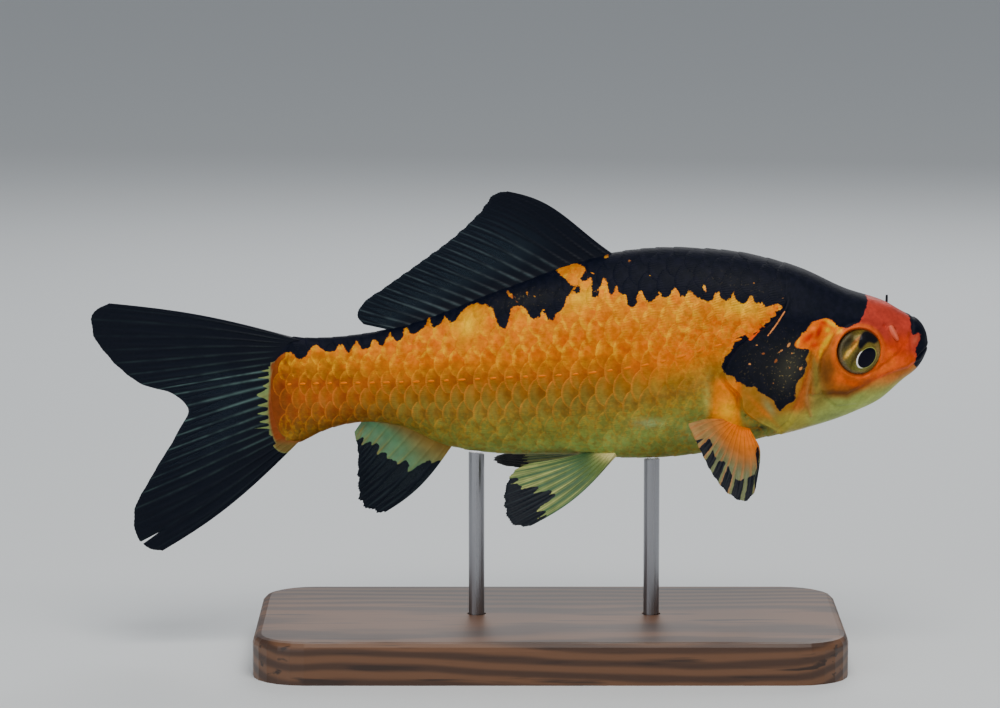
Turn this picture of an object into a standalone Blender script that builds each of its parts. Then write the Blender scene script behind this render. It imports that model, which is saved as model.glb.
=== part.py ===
"""A life-size common goldfish as it swims, on a plain display stand of a flat base and two rods.

+Z is up and the fish heads towards +X. Its middle plane is y = 0, apart from the tail, which swings
a little to the left. The origin is on the table, under the middle of the whole model.
Sizes and places are in millimetres, and mesh_object() and place() turn them into metres.
"""

import math

import bmesh
import bpy
import numpy as np

MM = 0.001
GAP = 0.3  # clearance between neighbouring pieces

# ---- the body: (x, value) knots of each line that runs from the tail to the snout
SNOUT_X, TAIL_X = 80.0, -46.2
BACK = (
    (-46, 62.3), (-38, 61.5), (-28, 62.3), (-21.5, 63.6), (-1.5, 71.0), (12, 75.9), (20, 78.0),
    (36, 78.9), (48, 77.3), (56, 74.8), (64, 71.1), (72, 68.4), (75.8, 66.3), (80, 65.0),
)
BELLY = (
    (-46, 38.6), (-40, 40.7), (-34, 43.5), (-27, 44.9), (-20, 44.0), (-12, 40.5), (-4, 39.2),
    (12, 38.8), (24, 38.2), (36, 39.0), (46, 41.4), (56, 43.8), (66, 47.2), (71, 49.7), (76, 54.0),
    (80, 56.4),
)
HALF_WIDTH = (
    (-46, 1.9), (-40, 2.8), (-30, 4.0), (-20, 5.1), (-8, 6.6), (6, 8.3), (20, 9.6), (34, 10.2),
    (46, 9.9), (56, 9.1), (64, 8.1), (70, 6.7), (75, 5.1), (80, 3.6),
)
WIDEST_AT = ((-46, 0.50), (10, 0.51), (36, 0.54), (56, 0.52), (68, 0.50), (80, 0.50))
FULLNESS_ABOVE = ((-46, 2.0), (0, 1.85), (40, 1.95), (60, 2.3), (80, 2.3))
FULLNESS_BELOW = ((-46, 2.0), (0, 2.1), (36, 2.3), (60, 2.1), (80, 2.1))
SNOUT_ROUNDS_FROM, SNOUT_HEIGHT, SNOUT_POWER = 76.0, 60.6, 2.7
TAIL_ROUNDS_FROM, TAIL_HEIGHT, TAIL_POWER = -40.5, 51.6, 2.6

# ---- the tail's swing to the fish's left
SWING_FROM, SWING_TO, SWING = 10.0, -80.0, 5.0

# ---- the gill opening: how far its edge reaches back from GILL_X, by the angle round the body
GILL_X, GILL_REACH = 53.0, 12.7
GILL_ANGLE, GILL_ANGLE_ABOVE, GILL_ANGLE_BELOW = -13.0, 26.0, 38.0
GILL_DENT, DENT_ANGLE, DENT_SPREAD = 2.3, -24.0, 9.0  # in front of the breast fin's root
GILL_FADES_FRONT, GILL_FADES_REAR = 74.0, 12.0
COVER_TOP, COVER_BOTTOM = 30.0, -50.0
COVER_FRONT_X, COVER_FRONT_LEAN = 58.3, 0.06
COVER_THICK, COVER_PROUD, COVER_BEVEL = 1.3, 0.45, 1.3
STALK_X = -27.0

AROUND = 36  # facets round the body
SPACING_HEAD, SPACING_TRUNK, SPACING_STALK = 13, 17, 7

# ---- the head
EYE = (66.5, 5.6, 59.6)
EYE_RADIUS, EYE_DEPTH, EYE_TURN, EYE_DROP = 4.5, 0.72, 14.0, 8.0
GAPE_FRONT, GAPE_REAR = (81.0, 60.0), (61.5, 49.2)
LIP_X = 76.3
NOSTRIL_X, FLAP_THICK = 72.4, 0.55
# each nostril's flap: its foot's angle above the flank's middle, the way from foot to tip, the way
# its flat side faces, both (forward, out, up), and its width
FLAPS = {
    "left": (42.0, (-0.2, 0.4, 3.3), (1.0, 0.0, 0.0), 2.0),
    "right": (32.0, (1.4, 1.2, -2.3), (0.0, 1.0, 0.3), 1.8),
}

# ---- the fins
MIN_WEB = 0.5  # the least thickness of the web between two rays
TIP_THICK = 0.55
DORSAL_RAYS, DORSAL_FRONT, DORSAL_REAR = 18, 20.0, -21.0
DORSAL_TIPS = (
    (-0.4, 89.6), (-2.8, 88.9), (-5.0, 86.0), (-9.6, 81.4), (-16.8, 75.9), (-23.6, 71.0), (-27.9, 67.6),
    (-28.8, 65.6), (-27.6, 63.9),
)
ANAL_RAYS, ANAL_FRONT, ANAL_REAR = 8, -11.2, -27.0
ANAL_TIPS = ((-24.1, 27.0), (-28.0, 28.5), (-28.9, 34.5), (-28.8, 39.5), (-29.4, 43.0))
TAIL_RAYS = 20
TAIL_TIPS = (
    (-76.5, 67.5), (-79.6, 65.4), (-79.6, 61.6), (-76.6, 57.0), (-70.4, 51.9), (-63.6, 49.7),
    (-61.3, 47.4), (-63.2, 43.0), (-68.4, 34.2), (-72.0, 26.4), (-71.5, 22.4), (-69.8, 20.2), (-66.6, 19.4),
)
PECTORAL_RAYS, PELVIC_RAYS = 12, 9
# Roots of paired fins are (x, angle below the side) on the flank; tips are (x, way out from y = 0, z).
PECTORAL_ROOT = ((45.6, -58), (43.4, -50), (41.4, -43))
PECTORAL_TIPS = (
    (46.2, 18.0, 37.6), (46.0, 19.5, 34.6), (44.2, 20.4, 33.2), (41.6, 20.0, 34.3), (38.8, 18.2, 37.2),
    (36.0, 15.4, 42.2), (33.8, 12.8, 46.8),
)
PELVIC_ROOT = ((21.0, -71), (18.8, -74), (16.8, -77))
PELVIC_TIPS = {
    "right": (
        (3.8, 14.4, 27.3), (0.6, 13.6, 27.7), (-0.9, 11.6, 31.2), (-0.6, 9.4, 34.2), (1.2, 7.0, 37.0),
        (4.0, 5.2, 38.0),
    ),
    "left": (
        (2.4, 16.6, 33.6), (-1.4, 16.2, 34.2), (-2.8, 14.2, 35.4), (-2.6, 11.4, 36.6), (-1.0, 8.4, 37.6),
        (2.6, 5.8, 38.2),
    ),
}

# ---- the stand
BASE_LONG, BASE_WIDE, BASE_THICK, BASE_X = 112.0, 58.0, 8.0, 8.0
BASE_CORNER, BASE_EDGE = 10.0, 1.6
ROD_RADIUS, ROD_SUNK = 1.5, 5.0
RODS = {"stand_rod_front": 27.5, "stand_rod_rear": -6.0}


# ---------------------------------------------------------------- small tools
def through(knots, at):
    """The value at `at` of a smooth curve through (place, value) knots, in cubic pieces."""
    place, value = np.array(knots, float).T
    slope = np.gradient(value, place)
    at = np.clip(at, place[0], place[-1])
    i = np.clip(np.searchsorted(place, at) - 1, 0, len(place) - 2)
    step = place[i + 1] - place[i]
    t = (at - place[i]) / step
    start = (1 + 2 * t) * (1 - t) ** 2 * value[i] + t * (1 - t) ** 2 * step * slope[i]
    end = t**2 * (3 - 2 * t) * value[i + 1] + t**2 * (t - 1) * step * slope[i + 1]
    return start + end


def even_points(corners, count):
    """count points, evenly spaced, on a smooth curve through corners, (x, z) or (x, y, z)."""
    corners = np.array(corners, float)
    along = np.concatenate([[0], np.cumsum(np.linalg.norm(np.diff(corners, axis=0), axis=1))])
    fine = np.linspace(0, along[-1], 400)
    curve = np.stack([through(np.stack([along, c], 1), fine) for c in corners.T], 1)
    length = np.concatenate([[0], np.cumsum(np.linalg.norm(np.diff(curve, axis=0), axis=1))])
    at = np.linspace(0, length[-1], count)
    return np.stack([np.interp(at, length, c) for c in curve.T], 1)


def swung(points):
    """The points after the tail's swing, which grows with the square of the way behind SWING_FROM."""
    points = np.array(points, float)
    share = np.clip((SWING_FROM - points[..., 0]) / (SWING_FROM - SWING_TO), 0, None)
    points[..., 1] += SWING * share**2
    return points


def material(name, colour, roughness, metallic=0.0):
    made = bpy.data.materials.get(name) or bpy.data.materials.new(name)
    made.use_nodes = True
    shader = made.node_tree.nodes["Principled BSDF"]
    shader.inputs["Base Color"].default_value = (*colour, 1.0)
    shader.inputs["Roughness"].default_value = roughness
    shader.inputs["Metallic"].default_value = metallic
    return made


def mesh_object(name, points, faces, finish=None, helper=False):
    """A mesh object from points in millimetres. A helper is a cutter, which isn't part of the fish."""
    mesh = bpy.data.meshes.new(name)
    mesh.from_pydata((np.array(points) * MM).tolist(), [], [list(map(int, f)) for f in faces])
    mesh.validate()
    return link(bpy.data.objects.new(name, mesh), finish, helper)


def link(made, finish=None, helper=False):
    """Puts an object in the goldfish's collection, or in the cutters' one, and gives it its finish."""
    for old in list(made.users_collection):
        old.objects.unlink(made)
    bpy.data.collections["cutters" if helper else "goldfish"].objects.link(made)
    if helper:
        made.hide_render = True
        made.display_type = "WIRE"
    if finish:
        made.data.materials.append(finish)
    return made


def boolean(target, cutter, operation="DIFFERENCE"):
    cut = target.modifiers.new(operation.title() + " " + cutter.name, "BOOLEAN")
    cut.operation = operation
    cut.object = cutter
    cut.solver = "EXACT"


def grid_faces(rows, columns, closed):
    """Quads of a grid whose points run column by column within each row. A closed row is a ring."""
    ends = columns if closed else columns - 1
    for r in range(rows - 1):
        for c in range(ends):
            after = (c + 1) % columns
            yield (r * columns + c, r * columns + after, (r + 1) * columns + after, (r + 1) * columns + c)


def smooth(made, angle=math.radians(40)):
    made.data.shade_smooth()
    made.data.set_sharp_from_angle(angle=angle)


# ---------------------------------------------------------------- the body's surface
def closing(x, start, end, power):
    """1 along the body, falling to 0 at its end as a rounded nose does."""
    share = np.clip((x - start) / (end - start), 0, 1)
    return np.sqrt(np.clip(1 - share**power, 0, 1))


def flank(x, angle):
    """Points of the body's surface at x and at an angle round it: 0 is left, 90 is the back."""
    x = np.asarray(x, float)
    snout = closing(x, SNOUT_ROUNDS_FROM, SNOUT_X, SNOUT_POWER)
    tail = closing(x, TAIL_ROUNDS_FROM, TAIL_X, TAIL_POWER)
    top = SNOUT_HEIGHT + (through(BACK, x) - SNOUT_HEIGHT) * snout
    low = SNOUT_HEIGHT + (through(BELLY, x) - SNOUT_HEIGHT) * snout
    top = TAIL_HEIGHT + (top - TAIL_HEIGHT) * tail
    low = TAIL_HEIGHT + (low - TAIL_HEIGHT) * tail
    half = through(HALF_WIDTH, x) * snout * tail
    level = low + (top - low) * through(WIDEST_AT, x)
    up, out = np.sin(np.radians(angle)), np.cos(np.radians(angle))
    power = 2 / np.where(up > 0, through(FULLNESS_ABOVE, x), through(FULLNESS_BELOW, x))
    rise = np.abs(up) ** power * np.where(up > 0, top - level, low - level)
    side = np.sign(out) * np.abs(out) ** power * half
    return np.stack(np.broadcast_arrays(x, side, level + rise), -1)


def lifted(x, angle, lift):
    """Points above the body's surface by lift, along its own normal."""
    step_x, step_angle = 0.05, 0.5
    here = flank(x, angle)
    inner = np.clip(x, TAIL_X + 2 * step_x, SNOUT_X - 2 * step_x)
    along = flank(inner + step_x, angle) - flank(inner - step_x, angle)
    across = flank(inner, np.asarray(angle) + step_angle) - flank(inner, np.asarray(angle) - step_angle)
    normal = np.cross(across, along)
    normal /= np.maximum(np.linalg.norm(normal, axis=-1, keepdims=True), 1e-9)
    return here + normal * np.asarray(lift)[..., None]


def gill_reach(angle):
    """How far the gill opening's edge has run back at this angle: 1 at its rearmost point."""
    folded = np.degrees(np.arcsin(np.sin(np.radians(angle))))
    turn = folded - GILL_ANGLE
    reach = np.exp(-((turn / np.where(turn > 0, GILL_ANGLE_ABOVE, GILL_ANGLE_BELOW)) ** 2))
    return reach - GILL_DENT / GILL_REACH * np.exp(-(((folded - DENT_ANGLE) / DENT_SPREAD) ** 2))


def bent(x, angle):
    """A ring at x, bent back along its sides so that the ring at GILL_X is the gill opening's edge."""
    ahead = (GILL_FADES_FRONT - x) / (GILL_FADES_FRONT - GILL_X)
    behind = (x - GILL_FADES_REAR) / (GILL_X - GILL_FADES_REAR)
    return x - GILL_REACH * np.clip(np.minimum(ahead, behind), 0, 1) * gill_reach(angle)


def rings(stations, lift=0.0):
    """The body's surface as rings of points at the stations, bent round the gill opening."""
    x, angle = np.meshgrid(stations, np.arange(AROUND) * 360 / AROUND, indexing="ij")
    return lifted(bent(x, angle), angle, np.full(x.shape, lift))


def length_of_body(name, stations, finish=None, lift=0.0, helper=False):
    """A closed length of the body. Each end is closed by a fan to a point in the middle plane."""
    points = swung(rings(stations, lift))
    count = len(stations)
    ends = [points[i].mean(0) for i in (0, -1)]
    cloud = np.concatenate([points.reshape(-1, 3), ends])
    faces = list(grid_faces(count, AROUND, True))
    last, first_end, last_end = (count - 1) * AROUND, count * AROUND, count * AROUND + 1
    for c in range(AROUND):
        after = (c + 1) % AROUND
        faces.append((after, c, first_end))
        faces.append((last + c, last + after, last_end))
    made = mesh_object(name, cloud, faces, finish, helper)
    smooth(made)
    return made


def towards(start, end, count, ease=1.0):
    """count places from start to end, closer together near the end when ease is over 1."""
    return start + (end - start) * (1 - (1 - np.linspace(0, 1, count)) ** ease)


def make_body(orange):
    """The trunk and the tail stalk, and the cutters that hold their neighbours off them."""
    edge = 0.5 * GAP
    nose = SNOUT_X - 0.02
    end = TAIL_X + 0.02
    head_stations = towards(GILL_X + edge, nose, SPACING_HEAD, 1.6)
    trunk_stations = towards(STALK_X + edge, GILL_X - edge, SPACING_TRUNK)
    stalk_stations = towards(STALK_X - edge, end, SPACING_STALK, 1.5)[::-1]
    length_of_body("trunk", trunk_stations, orange)
    length_of_body("tail_stalk", stalk_stations, orange)
    whole = np.concatenate([stalk_stations, trunk_stations, head_stations])
    length_of_body("room_round_body", whole, lift=GAP, helper=True)
    return head_stations


# ---------------------------------------------------------------- the head
def cover_patch(sign, margin):
    """A curved slab over one gill: its rear edge is the gill opening, its front edge leans forward.

    With a margin it is the room that the slab needs in the head, open to the rear and outwards.
    """
    rows, columns = 9, round((COVER_TOP - COVER_BOTTOM) * AROUND / 360) + 1
    turn = np.linspace(COVER_BOTTOM - 4 * margin, COVER_TOP + 4 * margin, columns)
    share = np.linspace(0, 1, rows)[:, None]
    rear = bent(np.full(columns, GILL_X + 0.5 * GAP), turn) - 3 * margin
    front = COVER_FRONT_X + COVER_FRONT_LEAN * turn + margin
    round_off = 1.6 * (np.abs(np.linspace(-1, 1, columns)) ** 6)
    x = rear + (front - rear - round_off) * share
    angle = np.broadcast_to(turn if sign > 0 else 180 - turn, x.shape)
    proud = COVER_PROUD * (1 - share) + np.zeros(x.shape)
    outer = lifted(x, angle, proud + 3 * margin)
    bevel = 0 if margin else COVER_BEVEL
    inner = lifted(x + bevel * (1 - share), angle, proud - COVER_THICK - margin)
    return swung(np.concatenate([outer.reshape(-1, 3), inner.reshape(-1, 3)])), rows, columns


def slab(name, points, rows, columns, sign, finish=None, helper=False):
    """A closed solid between two grids of points, the outer one listed first."""
    size = rows * columns
    faces = list(grid_faces(rows, columns, False))
    faces += [tuple(size + i for i in reversed(face)) for face in grid_faces(rows, columns, False)]
    rim = [c for c in range(columns)]
    rim += [r * columns + columns - 1 for r in range(1, rows)]
    rim += [(rows - 1) * columns + c for c in range(columns - 2, -1, -1)]
    rim += [r * columns for r in range(rows - 2, 0, -1)]
    faces += [(b, a, size + a, size + b) for a, b in zip(rim, rim[1:] + rim[:1])]
    if sign < 0:
        faces = [face[::-1] for face in faces]
    return mesh_object(name, points, faces, finish, helper)


def eyeball(name, side, radius, finish=None, helper=False):
    """A flattened ball whose axis looks out, forward and a little down."""
    bpy.ops.mesh.primitive_uv_sphere_add(segments=18, ring_count=10, radius=radius * MM)
    made = link(bpy.context.object, finish, helper)
    made.name = name
    made.scale = (1, 1, EYE_DEPTH)
    made.rotation_euler = (side * math.radians(-90 - EYE_DROP), 0, side * math.radians(-EYE_TURN))
    made.location = (EYE[0] * MM, side * EYE[1] * MM, EYE[2] * MM)
    made.data.shade_smooth()
    return made


def block(name, front_top, rear_top, drop, half):
    """A slanting box below the line from front_top to rear_top, both (x, z)."""
    (x0, z0), (x1, z1) = front_top, rear_top
    outline = ((x0, z0), (x1, z1), (x1, z1 - drop), (x0, z0 - drop))
    corners = [(x, y, z) for y in (-half, half) for x, z in outline]
    faces = [(0, 1, 2, 3), (7, 6, 5, 4), (4, 5, 1, 0), (5, 6, 2, 1), (6, 7, 3, 2), (7, 4, 0, 3)]
    return mesh_object(name, corners, faces, helper=True)


def nostril_flap(side, sign, finish):
    """The skin flap that stands between the two openings of a nostril, a small rounded leaf."""
    rows, columns = 5, 6
    across = np.linspace(-1, 1, columns)[:, None]
    up = np.linspace(0, 1, rows)[:, None, None]
    angle, leaf, facing, wide = FLAPS[side]
    leaf, facing = np.array(leaf) * (1, sign, 1), np.array(facing) * (1, sign, 1)
    foot = lifted(np.array(NOSTRIL_X), angle if sign > 0 else 180 - angle, GAP - 0.6)
    sideways = np.cross(leaf, facing)
    sideways /= np.linalg.norm(sideways)
    points = foot + leaf * 1.15 * up - 0.3 * facing * across**2 * up
    points = points + sideways * 0.5 * wide * across * np.sqrt(1 - (0.92 * up) ** 2)
    faces = grid_faces(rows, columns, False)
    flap = mesh_object(f"nostril_flap_{side}", points.reshape(-1, 3), faces, finish)
    shell = flap.modifiers.new("Solidify", "SOLIDIFY")
    shell.thickness = FLAP_THICK * MM
    shell.offset = 0.0
    boolean(flap, bpy.data.objects["room_round_body"])
    return flap


def make_head(stations, orange, red, black, gold):
    """The head, its gill covers, eyes, lower jaw, upper lip and nostril flaps."""
    head = length_of_body("head", stations, red)
    for side, sign in (("left", 1), ("right", -1)):
        plate, rows, columns = cover_patch(sign, 0.0)
        cover = slab(f"gill_cover_{side}", plate, rows, columns, sign, orange)
        smooth(cover)
        room, rows, columns = cover_patch(sign, GAP)
        boolean(head, slab(f"room_for_gill_cover_{side}", room, rows, columns, sign, helper=True))
        eyeball(f"eye_{side}", sign, EYE_RADIUS, gold)
        boolean(head, eyeball(f"room_for_eye_{side}", sign, EYE_RADIUS + GAP, helper=True))
        nostril_flap(side, sign, black if side == "left" else red)
    jaw = length_of_body("jaw_lower", stations, orange)
    boolean(jaw, block("jaw_share", GAPE_FRONT, GAPE_REAR, 20, 12), "INTERSECT")
    front, rear = (GAPE_FRONT[0], GAPE_FRONT[1] + GAP), (GAPE_REAR[0] - GAP, GAPE_REAR[1] + GAP)
    room_for_jaw = block("room_for_jaw", front, rear, 22, 12)
    boolean(head, room_for_jaw)
    lip = length_of_body("lip_upper", stations, black)
    boolean(lip, room_for_jaw)
    boolean(lip, block("lip_share", (SNOUT_X + 2, 75), (LIP_X, 75), 30, 12), "INTERSECT")
    boolean(head, block("room_for_lip", (SNOUT_X + 2, 76), (LIP_X - GAP, 76), 30, 12))


# ---------------------------------------------------------------- the fins
def fin(name, roots, tips, bow, thick, finish, cut=False):
    """A fin as a sheet between its root line and its tips, with a column on each ray and each web.

    Rays run from root to tip. bow(share) gives the (x, y, z) by which a ray's middle arches, for
    its place across the fin. thick is (at the root, at the tip) on a ray; a web is half that, but
    never under MIN_WEB. The webs end a little short of the rays, so the margin is toothed.
    """
    columns, rows = len(roots), 5
    share = np.linspace(0, 1, columns)
    v = np.linspace(0, 1, rows)[:, None, None]
    on_web = np.arange(columns) % 2 == 1
    reach = np.where(on_web, 0.975, 1.0)[None, :, None]
    arch = np.array([bow(s) for s in share])[None]
    points = roots[None] + (tips - roots)[None] * v * reach + arch * np.sin(math.pi * v)
    made = mesh_object(name, swung(points).reshape(-1, 3), grid_faces(rows, columns, False), finish)
    at_root, at_tip = thick
    width = at_tip + (at_root - at_tip) * (1 - v[..., 0]) ** 1.5
    width = np.maximum(width * np.where(on_web, 0.5, 1.0), MIN_WEB)
    group = made.vertex_groups.new(name="thickness")
    for index, weight in enumerate((width / at_root).ravel()):
        group.add([index], float(min(weight, 1)), "REPLACE")
    shell = made.modifiers.new("Solidify", "SOLIDIFY")
    shell.thickness = at_root * MM
    shell.offset = 0.0
    shell.vertex_group = "thickness"
    if cut:
        boolean(made, bpy.data.objects["room_round_body"])
    smooth(made)
    return made


def flat(corners, count):
    """Points of a line in the fish's middle plane, from (x, z) corners."""
    x, z = even_points(corners, count).T
    return np.stack([x, np.zeros(count), z], 1)


def on_profile(x_from, x_to, count, angle, lift):
    """Points that follow the body's back or belly line, lift above it."""
    x = np.linspace(x_from, x_to, count)
    return lifted(x, np.full(count, angle), np.full(count, lift))


def tail_root(count):
    """The tail fin's root line, which runs round the end of the tail stalk from top to bottom."""
    turn = np.radians(np.linspace(88, -88, count))
    depth = TAIL_ROUNDS_FROM - TAIL_X + GAP + 0.1
    x = TAIL_ROUNDS_FROM - depth * (np.cos(turn) ** 2) ** (1 / TAIL_POWER)
    inner = np.clip(x, TAIL_X, None)
    half = np.where(turn > 0, through(BACK, inner) - TAIL_HEIGHT, TAIL_HEIGHT - through(BELLY, inner))
    return np.stack([x, np.zeros(count), TAIL_HEIGHT + (half + GAP + 0.1) * np.sin(turn)], 1)


def make_middle_fins(black, pale):
    """The fin on the back, the fin under the tail stalk, and the tail's two lobes."""

    def back_bow(share):
        return (0.9 * (1 - share) ** 4, 0, 1.5 * (1 - share) ** 4)

    def vent_bow(share):
        return (0.6 * (1 - share) ** 3, 0, -1.2 * (1 - share) ** 3)

    def upper_bow(share):
        return (0, 0, 1.1 * max(1 - 2 * share, 0))

    def lower_bow(share):
        return (0, 0, -1.7 * max(2 * share - 1, 0))

    count = 2 * DORSAL_RAYS - 1
    roots = on_profile(DORSAL_FRONT, DORSAL_REAR, count, 90, GAP + 0.1)
    tips = flat(DORSAL_TIPS, count)
    fin("fin_dorsal", roots, tips, back_bow, (1.5, TIP_THICK), black)
    count = 2 * ANAL_RAYS - 1
    roots = on_profile(ANAL_FRONT, ANAL_REAR, count, -90, GAP + 0.1)
    tips = flat(ANAL_TIPS, count)
    fin("fin_anal", roots, tips, vent_bow, (1.4, TIP_THICK), pale)
    count = 2 * TAIL_RAYS + 1
    roots, tips = tail_root(count), flat(TAIL_TIPS, count)
    upper, lower = slice(0, TAIL_RAYS), slice(TAIL_RAYS + 1, count)
    fin("fin_tail_upper", roots[upper], tips[upper], upper_bow, (1.5, TIP_THICK), black)
    fin("fin_tail_lower", roots[lower], tips[lower], lower_bow, (1.5, TIP_THICK), black)


def paired_fin(name, side, root, tips, rays, bow, root_thick, finish):
    """A fin of one flank: side is 1 for the left and -1 for the right, and its root is cut to fit."""
    count = 2 * rays - 1
    places = even_points(root, count)
    angle = places[:, 1] if side > 0 else 180 - places[:, 1]
    roots = lifted(places[:, 0], angle, np.full(count, -0.8))
    ends = even_points(tips, count) * (1, side, 1)

    def own_bow(share):
        return np.array(bow(share)) * (1, side, 1)

    fin(name, roots, ends, own_bow, (root_thick, TIP_THICK), finish, cut=True)


def make_paired_fins(orange, pale):
    """The breast fins, spread out and down, and the belly fins, trailing back."""

    def breast_bow(share):
        return (1.6 * (1 - share) ** 2, 1.2, 0.8)

    def belly_bow(share):
        return (0.8 * (1 - share) ** 2, 1.0, -1.1 * (1 - share) ** 2)

    for side, sign in (("left", 1), ("right", -1)):
        paired_fin(
            f"fin_pectoral_{side}", sign, PECTORAL_ROOT, PECTORAL_TIPS, PECTORAL_RAYS, breast_bow,
            1.9, orange,
        )
        paired_fin(
            f"fin_pelvic_{side}", sign, PELVIC_ROOT, PELVIC_TIPS[side], PELVIC_RAYS, belly_bow,
            1.5, pale,
        )


# ---------------------------------------------------------------- the stand
def cylinder(name, x, bottom, top, radius, finish=None, helper=False):
    """An upright cylinder on the middle plane, between two levels."""
    middle = (x * MM, 0, 0.5 * (bottom + top) * MM)
    bpy.ops.mesh.primitive_cylinder_add(
        vertices=20, radius=radius * MM, depth=(top - bottom) * MM, location=middle
    )
    made = link(bpy.context.object, finish, helper)
    made.name = name
    return made


def make_stand(wood, metal):
    """A flat base with rounded corners, and two rods that rise from sockets in it to the belly."""
    mesh = bpy.data.meshes.new("stand_base")
    shape = bmesh.new()
    bmesh.ops.create_cube(shape, size=1.0)
    bmesh.ops.scale(shape, vec=(BASE_LONG * MM, BASE_WIDE * MM, BASE_THICK * MM), verts=shape.verts)
    bmesh.ops.translate(shape, vec=(BASE_X * MM, 0, 0.5 * BASE_THICK * MM), verts=shape.verts)
    upright = [e for e in shape.edges if abs(e.verts[0].co.z - e.verts[1].co.z) > 0.5 * BASE_THICK * MM]
    bmesh.ops.bevel(
        shape, geom=upright, offset=BASE_CORNER * MM, segments=6, profile=0.5, affect="EDGES"
    )
    rim = [e for e in shape.edges if all(v.co.z > 0.9 * BASE_THICK * MM for v in e.verts)]
    bmesh.ops.bevel(shape, geom=rim, offset=BASE_EDGE * MM, segments=3, profile=0.5, affect="EDGES")
    shape.to_mesh(mesh)
    shape.free()
    base = link(bpy.data.objects.new("stand_base", mesh), wood)
    smooth(base)
    for name, x in RODS.items():
        foot = BASE_THICK - ROD_SUNK
        socket = cylinder(f"socket_of_{name}", x, foot, BASE_THICK + 5, ROD_RADIUS + GAP, helper=True)
        boolean(base, socket)
        rod = cylinder(name, x, foot + GAP, through(BELLY, np.array(x)) + 3, ROD_RADIUS, metal)
        boolean(rod, bpy.data.objects["room_round_body"])
        smooth(rod)


# ---------------------------------------------------------------- the whole model
def main():
    for old in list(bpy.data.objects):
        bpy.data.objects.remove(old, do_unlink=True)
    for name in ("goldfish", "cutters"):
        group = bpy.data.collections.get(name) or bpy.data.collections.new(name)
        if group.name not in bpy.context.scene.collection.children:
            bpy.context.scene.collection.children.link(group)
    orange = material("orange scales", (0.86, 0.42, 0.03), 0.35, 0.2)
    red = material("red head skin", (0.70, 0.13, 0.05), 0.4)
    black = material("black skin", (0.02, 0.022, 0.04), 0.4)
    pale = material("pale fin", (0.62, 0.60, 0.36), 0.45)
    gold = material("eye", (0.42, 0.36, 0.12), 0.15, 0.3)
    wood = material("dark wood", (0.16, 0.08, 0.04), 0.5)
    metal = material("brushed steel", (0.6, 0.6, 0.6), 0.3, 1.0)
    stations = make_body(orange)
    make_head(stations, orange, red, black, gold)
    make_middle_fins(black, pale)
    make_paired_fins(orange, pale)
    make_stand(wood, metal)


main()
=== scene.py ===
"""The looks of a life-size common goldfish, orange with a black back, tail and fins, on a display stand.

Sizes and places are in millimetres and become metres in piece(). +X is the head, +Y the fish's left.
"""

import math

import bpy
import numpy as np
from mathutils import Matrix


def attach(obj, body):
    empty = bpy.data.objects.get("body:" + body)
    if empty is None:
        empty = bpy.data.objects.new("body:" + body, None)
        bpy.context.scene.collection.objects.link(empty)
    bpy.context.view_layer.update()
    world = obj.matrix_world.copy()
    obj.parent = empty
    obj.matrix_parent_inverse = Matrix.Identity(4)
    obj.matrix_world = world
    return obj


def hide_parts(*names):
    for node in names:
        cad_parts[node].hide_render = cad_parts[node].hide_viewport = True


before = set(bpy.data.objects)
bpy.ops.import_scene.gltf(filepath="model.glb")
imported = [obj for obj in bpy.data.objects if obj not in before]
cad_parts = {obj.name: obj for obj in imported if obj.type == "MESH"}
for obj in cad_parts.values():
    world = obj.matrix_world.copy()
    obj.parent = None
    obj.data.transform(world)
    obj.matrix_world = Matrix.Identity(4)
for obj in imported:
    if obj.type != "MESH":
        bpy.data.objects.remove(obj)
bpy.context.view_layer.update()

# ---------------------------------------------------------------- the skin
# The fish's whole skin, from the lips to the root of the tail, in one piece. It holds the gill
# covers, the cheek's bones, the eye sockets, the mouth and the nostrils as relief, and the scales
# grow out of it. Its colours lie in the skin, and the black lies over them in a layer of its own.
COAT = 0.32  # how far the scales stand above the skin
SNOUT_X, TAIL_X = 80, -46.2  # the skin's ends
SNOUT_FROM, SNOUT_LEVEL = 76, 60.6  # where the snout starts to round off, and its tip's height
TAIL_FROM, TAIL_LEVEL = -40.5, 51.6  # the same for the stalk's end
BACK = (
    (-46, 62.3), (-38, 61.5), (-28, 62.3), (-21.5, 63.6), (-1.5, 71), (12, 75.9), (20, 78), (36, 78.9),
    (48, 77.3), (56, 74.8), (64, 71.1), (72, 68.4), (75.8, 66.3), (80, 65),
)
BELLY = (
    (-46, 38.6), (-40, 40.7), (-34, 43.5), (-27, 44.9), (-20, 44), (-12, 40.5), (-4, 39.2), (12, 38.8),
    (24, 38.2), (36, 39), (46, 41.4), (56, 43.8), (66, 47.2), (71, 49.7), (76, 54), (80, 56.4),
)
HALF_WIDTH = (
    (-46, 1.9), (-40, 2.8), (-30, 4), (-20, 5.1), (-8, 6.6), (6, 8.3), (20, 9.6), (34, 10.2), (46, 9.9),
    (56, 9.1), (64, 8.1), (70, 6.7), (75, 5.1), (80, 3.6),
)
WIDEST_AT = ((-46, 0.50), (10, 0.51), (36, 0.54), (56, 0.52), (68, 0.50), (80, 0.50))
FULLNESS_ABOVE = ((-46, 2), (0, 1.85), (40, 1.95), (60, 2.3), (80, 2.3))
FULLNESS_BELOW = ((-46, 2), (0, 2.1), (36, 2.3), (60, 2.1), (80, 2.1))
GILL_X, GILL_REACH = 53, 12.7
LOOKED_DOWN = 0.14  # a marking on the flank lies this much higher for each mm out from the middle


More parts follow.
